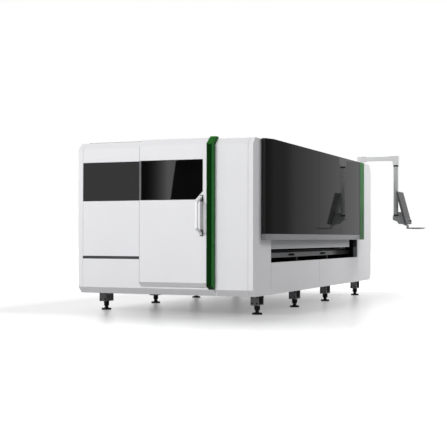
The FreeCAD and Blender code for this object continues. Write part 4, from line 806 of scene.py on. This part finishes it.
# %% Finish the pieces that keep their CAD mesh
INSIDE = {
    "cabin_frame": frame_coat,
    "travel_track": track_steel,
    "table_frame": table_coat,
    "cutting_slats": slat_steel,
    "scrap_tray": table_coat,
    "door_rails": rail_steel,
    "door_runners": black_plastic,
    "cover_rails": rail_steel,
    "cover_runners": zinc_plate,
    "beam_track": rail_steel,
    "travel_pinion_right": turned_steel,
    "travel_pinion_left": turned_steel,
    "carriage_pinion": turned_steel,
    "laser_head": head_aluminium,
    "head_screw": turned_steel,
}
for name, finish in INSIDE.items():
    mesh = nodes[name].data
    mesh.materials.clear()
    mesh.materials.append(finish)
left_over = [name for name in nodes if name not in OUTSIDE and name not in INSIDE]
print(len(INSIDE), "pieces refinished, still to come:", left_over)

# %% [markdown]
# ## Small plates that the solids leave out
# Liners, edge strips and end blocks are too thin to matter for collision, but they make an opening
# look like one: the dark sheet at the cabin's far end, the slot's far return, the plate and blocks
# at the handle, and the strips at the door's edge. The sheet's near-black is painted shade inside
# the cabin, and the strips at the door's edge are painted shade along it. A scaled cube would have
# done for each, but a finished piece keeps its place in its mesh, so each is made from its corner
# points.

# %% Helpers that make a plate and put it on a body
def prism_mesh(name, outline, thickness):
    """A closed plate: an outline of points that is pushed inwards by a vector."""
    work = bmesh.new()
    front = [work.verts.new(point) for point in outline]
    back = [work.verts.new(Vector(point) + Vector(thickness)) for point in outline]
    work.faces.new(front)
    work.faces.new(back[::-1])
    for index, corner in enumerate(front):
        following = (index + 1) % len(front)
        work.faces.new((corner, back[index], back[following], front[following]))
    return finished_mesh(name, work)


def finished_mesh(name, work):
    """Turns the faces of a closed shape outwards and keeps it as a mesh."""
    bmesh.ops.recalc_face_normals(work, faces=work.faces)
    mesh = bpy.data.meshes.new(name)
    work.to_mesh(mesh)
    work.free()
    return mesh


def add_piece(name, mesh, finish, body, width=0.0):
    """A new piece on a body. A width rounds its edges."""
    mesh.materials.clear()
    mesh.materials.append(finish)
    piece = new_object(name, mesh)
    if width:
        round_edges(piece, width, "ANGLE")
    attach(piece, body)
    return piece


# %% The plates, which all face the door end
PLATES = {
    # name, numbered at {}: span in x, face in y, spans in z, depth, finish, body, slot, rounding
    # The sheet closing the cabin's far end is near-black as painted shade inside the cabin.
    "cabin_end_liner": (
        (-1.5, 0.572), 1.874, [(0.26, 1.97)], 0.003, liner_coat_painted_shade, "machine", "frame_paint", 0.0006
    ),
    "slot_far_return": (
        (0.598, 0.6375), 1.8165, [(0.594, 0.745)], 0.003, rail_coat, "machine", "rail_paint",
        0.0006,
    ),
    "handle_back_plate": (
        (0.0275, 0.0655), -2.5965, [(0.92, 1.34)], 0.0015, plate_coat, "door", "rail_paint", 0.0004
    ),
    # A dark grey strip at the door's left edge beside the window: painted shade of the door's return
    # edge.
    "window_edge_strip": (
        (-0.7395, -0.7185), -2.5965, [(1.309, 1.764)], 0.0015, screen_coat, "door", "rail_paint",
        0.0004,
    ),
    # Thin grey lines down the door's left edge: painted shade between the door and the panel behind.
    "door_edge_seal_{}": (
        (-0.7395, -0.7355), -2.5955, [(0.34, 1.305), (1.768, 1.93)], 0.0008, rail_coat, "door",
        "rail_paint", 0.0,
    ),
    "handle_end_block_{}": (
        (0.0245, 0.0665), -2.6005, [(0.918, 0.972), (1.288, 1.342)], 0.004, block_plastic, "door",
        "black_plastic", 0.0012,
    ),
}
for title, (x, y, spans, thickness, finish, body, slot, width) in PLATES.items():
    for number, (low, high) in enumerate(spans, start=1):
        name = title.format(number)
        outline = [(x[0], y, low), (x[1], y, low), (x[1], y, high), (x[0], y, high)]
        plate = prism_mesh(name, outline, (0, thickness, 0))
        add_piece(name, plate, finish, body, width)
        print(name, "added")

# %% [markdown]
# ## Caps in the legs
# Each leg block is a short length of box tube whose ends face sideways, and black plastic caps
# close them. Their near-black also stands as painted shade on the sides of the blocks. A cap stands
# a little proud of its block. Caps face along x, and so do the seams further down, so one helper
# gives both their corners.

# %% Black caps in the open ends of the leg blocks
FEET_X = (0.5155, -1.4545)
FEET_Y = (-2.073, -0.723, 0.617, 2.2)
BLOCK_HALF = 0.0475
CAP_PROUD = 0.0025
CAP_HALF = 0.07
CAP_SPAN = (0.118, 0.228)
CAP_THICK = 0.0035
CAP_ROUNDING = 0.001


def side_plate(name, x, middle, half, span, thickness):
    """A plate that faces along x, pushed by its thickness, which has a sign."""
    low, high = middle - half, middle + half
    outline = [(x, low, span[0]), (x, high, span[0]), (x, high, span[1]), (x, low, span[1])]
    return prism_mesh(name, outline, (thickness, 0, 0))


# Each near-black cap is also painted shade on the side of its leg block.
for row, foot_y in enumerate(FEET_Y, start=1):
    for side, foot_x, out in (("right", FEET_X[0], 1), ("left", FEET_X[1], -1)):
        name = f"leg_cap_{side}_{row}"
        face = foot_x + out * (BLOCK_HALF + CAP_PROUD)
        cap = side_plate(name, face, foot_y, CAP_HALF, CAP_SPAN, -out * CAP_THICK)
        add_piece(name, cap, cap_plastic_painted_shade, "machine", CAP_ROUNDING)
print(len(FEET_X) * len(FEET_Y), "leg caps added")

# %% [markdown]
# ## The stop button
# An emergency stop has a turned red head with a domed crown on a short neck. The CAD has plain
# cylinders, and rounding their edges would fill the narrow gap between head and housing. So its
# profile is written down as (distance, radius) and spun round an axis that leans back with the
# screen. The head's place is measured on the CAD piece.

# %% A function that turns a profile
def lathe_mesh(name, profile, foot, axis, sideways, sides=40):
    """A closed turned shape. The profile runs from foot to crown and ends in a point at both."""
    across = axis.cross(sideways)
    work = bmesh.new()
    rings = []
    for along, radius in profile:
        count = sides if radius else 1
        turns = [math.tau * step / sides for step in range(count)]
        centre = foot + axis * along
        spokes = [math.cos(turn) * sideways + math.sin(turn) * across for turn in turns]
        rings.append([work.verts.new(centre + radius * spoke) for spoke in spokes])
    for lower, upper in zip(rings, rings[1:]):
        for here in range(sides):
            there = (here + 1) % sides
            corners = [lower[here % len(lower)], lower[there % len(lower)]]
            corners += [upper[there % len(upper)], upper[here % len(upper)]]
            face = work.faces.new(dict.fromkeys(corners))
            face.smooth = True
    return finished_mesh(name, work)


# %% The stop button, turned with a domed head
LEAN = math.radians(15.2)
OUTWARD = Vector((math.cos(LEAN), 0, math.sin(LEAN)))
UPWARD = Vector((-math.sin(LEAN), 0, math.cos(LEAN)))
SIDEWAYS = Vector((0, 1, 0))
STOP_PROFILE = [
    (0.0, 0.0), (0.0, 0.0117), (0.014, 0.0117), (0.014, 0.0152), (0.0148, 0.0168),
    (0.018, 0.017), (0.0205, 0.0158), (0.0222, 0.012), (0.0229, 0.006), (0.023, 0.0),
]

stop_points = [vertex.co for vertex in nodes["emergency_stop"].data.vertices]
stop_base = OUTWARD * min(point.dot(OUTWARD) for point in stop_points)
for axis in (UPWARD, SIDEWAYS):
    reach = [point.dot(axis) for point in stop_points]
    stop_base += axis * (min(reach) + max(reach)) / 2
stop_mesh = lathe_mesh("stop_head", STOP_PROFILE, stop_base, OUTWARD, SIDEWAYS)
stop_button = add_piece("stop_head", stop_mesh, red_plastic, "emergency_stop")
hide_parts("emergency_stop")
print("stop button turned,", len(stop_mesh.polygons), "faces")

# %% [markdown]
# ## Seams
# The cover's panes meet edge to edge over a dark sealing strip, and the low side panels meet in a
# narrow dark joint. A groove cut in the solids would need a gap in each, so the seams are thin
# strips that stand a fraction of a millimetre proud.

# %% Dark seams where panes meet, and where side panels do
SEAMS = {
    # name: face in x, half its width, foot, [middle in y and top], thickness, finish, body, slot
    "pane_seam": (
        0.7409, 0.003, 0.927, [(-1.411, 1.94), (-0.389, 1.94), (0.633, 1.94)], 0.002,
        seal_rubber, "cover", "black_plastic",
    ),
    "side_seam": (
        0.6408, 0.0025, 0.3, [(-1.9515, 0.59), (-0.048, 0.59), (1.8795, 1.6)], 0.001,
        rail_coat, "machine", "rail_paint",
    ),
}
for title, (x, half, foot, places, thickness, finish, body, slot) in SEAMS.items():
    for number, (middle, top) in enumerate(places, start=1):
        name = f"{title}_{number}"
        seam = side_plate(name, x, middle, half, (foot, top), -thickness)
        add_piece(name, seam, finish, body)
        print(name, "added")

# %% [markdown]
# ## Gaskets
# A rubber lip runs round each end window and holds the pane in its sheet. A curve with a bevel
# would follow the window too, but it would round the cut corner, and a lip is mitred there. So the
# outline is offset inwards corner by corner, and a raised middle line joins the two edges.

# %% A function that follows an outline with a lip
SHARPEST_MITRE = 0.2
TUCKED_IN = 0.001


def gasket_mesh(name, outline, y, lip, proud):
    """A closed strip along an outline in x and z, lip wide. Its middle stands proud of y."""
    count = len(outline)
    corners = [Vector(point) for point in outline]
    middle = sum(corners, Vector((0, 0))) / count
    work = bmesh.new()
    rings = []
    for index, corner in enumerate(corners):
        to_last = (corners[index - 1] - corner).normalized()
        to_next = (corners[(index + 1) % count] - corner).normalized()
        mitre = (to_last + to_next).normalized()
        inwards = mitre * lip / max(SHARPEST_MITRE, abs(mitre.cross(to_next)))
        if (corner + inwards - middle).length > (corner - middle).length:
            inwards = -inwards
        inner = corner + inwards
        half = (corner + inner) / 2
        rings.append([
            work.verts.new((corner.x, y, corner.y)),
            work.verts.new((half.x, y - proud, half.y)),
            work.verts.new((inner.x, y, inner.y)),
            work.verts.new((half.x, y + TUCKED_IN, half.y)),
        ])
    for index in range(count):
        one, two = rings[index], rings[(index + 1) % count]
        for side in range(4):
            following = (side + 1) % 4
            work.faces.new((one[side], one[following], two[following], two[side]))
    return finished_mesh(name, work)


# %% A rubber gasket round each window
LIP = 0.006
PROUD = 0.0012
WINDOWS = {
    # name: body, face in y, outline in x and z
    "door_gasket": ("door", -2.5925, [
        (-0.7185, 1.309), (-0.0325, 1.309), (0.0595, 1.401), (0.0595, 1.764), (-0.7185, 1.764)
    ]),
    "left_gasket": ("machine", -2.5325, [
        (-1.5165, 1.309), (-0.7595, 1.309), (-0.7595, 1.764), (-1.5165, 1.764)
    ]),
}
for name, (body, y, outline) in WINDOWS.items():
    gasket = gasket_mesh(name, outline, y, LIP, PROUD)
    add_piece(name, gasket, seal_rubber, body)
print(len(WINDOWS), "gaskets added")

# %% [markdown]
# ## What repeats
# Bolts and screws are one shape many times over, so Geometry Nodes place them. A tree takes a few
# points, puts one head on each, turned as it is told, and ends by making the copies real and giving
# them a material. Copies made by hand would look the same, but the tree keeps one size for all.
# Each point is first dropped onto the surface that carries it, so no head floats or sinks.

# %% The bolt tree and its named inputs
BOLT_INPUTS = {
    "Head Radius": ("NodeSocketFloat", 0.008),
    "Head Height": ("NodeSocketFloat", 0.006),
    "Washer Radius": ("NodeSocketFloat", 0.011),
    "Facing": ("NodeSocketVector", (0.0, -1.0, 0.0)),
    "Finish": ("NodeSocketMaterial", None),
}

bolts = bpy.data.node_groups.new("Bolt Heads", "GeometryNodeTree")
add_socket(bolts, "Geometry", "INPUT", "NodeSocketGeometry")
bolt_ids = {}
for label, (kind, value) in BOLT_INPUTS.items():
    socket = add_socket(bolts, label, "INPUT", kind)
    if value is not None:
        socket.default_value = value
    bolt_ids[label] = socket.identifier
add_socket(bolts, "Geometry", "OUTPUT", "NodeSocketGeometry")
given = bolts.nodes.new("NodeGroupInput").outputs
result = bolts.nodes.new("NodeGroupOutput").inputs
print(bolts.name, "takes", list(bolt_ids))

# %% A washer or a head for it
def lifted_cylinder(tree, sides, radius, height, lift):
    drum = add_node(tree, "GeometryNodeMeshCylinder", Vertices=sides, Radius=radius, Depth=height)
    offset = add_node(tree, "ShaderNodeCombineXYZ", Z=lift)
    shift = add_node(
        tree, "GeometryNodeTransform", Geometry=drum.outputs["Mesh"], Translation=offset.outputs[0]
    )
    return shift.outputs[0]


WASHER_SIDES = 16
WASHER_SHARE = 0.25
HEAD_SIDES = 6
HEAD_LIFT = 0.7

height = given["Head Height"]
washer_height = times(bolts, height, WASHER_SHARE)
washer_lift = times(bolts, washer_height, 0.5)
washer = lifted_cylinder(bolts, WASHER_SIDES, given["Washer Radius"], washer_height, washer_lift)
head_lift = times(bolts, height, HEAD_LIFT)
head = lifted_cylinder(bolts, HEAD_SIDES, given["Head Radius"], height, head_lift)
print("a washer's height is", WASHER_SHARE, "of its head's")

# %% Put a washer and a head on each point
both = bolts.nodes.new("GeometryNodeJoinGeometry")
bolts.links.new(washer, both.inputs[0])
bolts.links.new(head, both.inputs[0])
aim = add_node(bolts, "FunctionNodeAlignRotationToVector", Vector=given["Facing"])
aim.axis = "Z"
copies = add_node(
    bolts, "GeometryNodeInstanceOnPoints", Points=given["Geometry"], Instance=both.outputs[0],
    Rotation=aim.outputs[0],
)
real = add_node(bolts, "GeometryNodeRealizeInstances", Geometry=copies.outputs[0])
dress = add_node(
    bolts, "GeometryNodeSetMaterial", Geometry=real.outputs[0], Material=given["Finish"]
)
bolts.links.new(dress.outputs[0], result[0])
print(bolts.name, "has", len(bolts.nodes), "nodes")

# %% Drop points onto a surface and run the tree on them
DOORWARDS = (0.0, -1.0, 0.0)
UPWARDS = (0.0, 0.0, 1.0)


def dropped(node, starts, facing):
    """Each start point moved against a facing until it meets a node's surface."""
    mesh = nodes[node].data
    polygons = [tuple(polygon.vertices) for polygon in mesh.polygons]
    surface = BVHTree.FromPolygons([vertex.co for vertex in mesh.vertices], polygons)
    hits = [surface.ray_cast(Vector(start), -Vector(facing))[0] for start in starts]
    return [place for place in hits if place is not None]


def bolt_on(name, node, starts, facing, sizes, slot, finish):
    """Bolt heads on a node of the fixed machine, kept as one plain mesh. Returns their number."""
    points = dropped(node, starts, facing)
    seed = bpy.data.meshes.new(f"{name}_points")
    seed.from_pydata(points, [], [])
    maker = new_object(f"{name}_maker", seed)
    run = maker.modifiers.new("grow", "NODES")
    run.node_group = bolts
    for label, value in zip(("Head Radius", "Head Height", "Washer Radius"), sizes):
        run[bolt_ids[label]] = value
    run[bolt_ids["Facing"]] = facing
    run[bolt_ids["Finish"]] = finish
    depsgraph = bpy.context.evaluated_depsgraph_get()
    grown = maker.evaluated_get(depsgraph)
    mesh = bpy.data.meshes.new_from_object(grown, depsgraph=depsgraph)
    bpy.data.objects.remove(maker)
    add_piece(name, mesh, finish, "machine")
    return len(points)


# %% Starting points for the bolts and screws of legs, fume collar, slot and roof
LEG_BOLT_SPREAD = (-0.03, 0.03)
LEG_BOLT_HEIGHTS = (0.13, 0.2)
BEFORE_BLOCK = 0.2
COLLAR_CENTRE = (-0.4695, 0.765)
COLLAR_CIRCLE = 0.122
COLLAR_SCREWS = 8
OVER_COLLAR = 2.2
POST_X = 0.543
POST_Y = (-1.57, -1.06, -0.54, -0.03)
OVER_BEAM = 0.75
ROOF_SCREW_X = (-1.55, 0.61)
ROOF_FIRST_Y = -2.3
ROOF_STEP = 0.38
ROOF_ROWS = 11
OVER_ROOF = 2.1

before_legs = [
    (x + across, y - BEFORE_BLOCK, z)
    for x in FEET_X for y in FEET_Y for across in LEG_BOLT_SPREAD for z in LEG_BOLT_HEIGHTS
]
over_collar = []
for step in range(COLLAR_SCREWS):
    turn = math.tau * step / COLLAR_SCREWS
    x = COLLAR_CENTRE[0] + COLLAR_CIRCLE * math.cos(turn)
    y = COLLAR_CENTRE[1] + COLLAR_CIRCLE * math.sin(turn)
    over_collar.append((x, y, OVER_COLLAR))
over_beam = [(POST_X, y, OVER_BEAM) for y in POST_Y]
rows_y = [ROOF_FIRST_Y + ROOF_STEP * row for row in range(ROOF_ROWS)]
over_roof = [(x, y, OVER_ROOF) for x in ROOF_SCREW_X for y in rows_y]
print(len(before_legs + over_collar + over_beam + over_roof), "starting points")

# %% Bolt them on
FIXINGS = {
    # name: node, starts, facing, (head radius, head height, washer radius), slot, finish
    "leg_bolts": (
        "bed_frame", before_legs, DOORWARDS, (0.007, 0.005, 0.010), "frame_paint", foot_coat
    ),
    "collar_bolts": (
        "fume_collar", over_collar, UPWARDS, (0.005, 0.004, 0.007), "zinc_steel", zinc_plate
    ),
    "switch_posts": ("bed_frame", over_beam, UPWARDS, (0.016, 0.03, 0.02), "arm_paint", arm_coat),
    "roof_screws": (
        "roof_panel", over_roof, UPWARDS, (0.006, 0.004, 0.009), "zinc_steel", zinc_plate
    ),
}
for name, fixing in FIXINGS.items():
    print(name, bolt_on(name, *fixing))

# %% [markdown]
# ## Finish
# The dressed machine must stay inside the box of the CAD model, because the solids are what gets
# built and simulated.

# %% Finish
print("scene dressed")
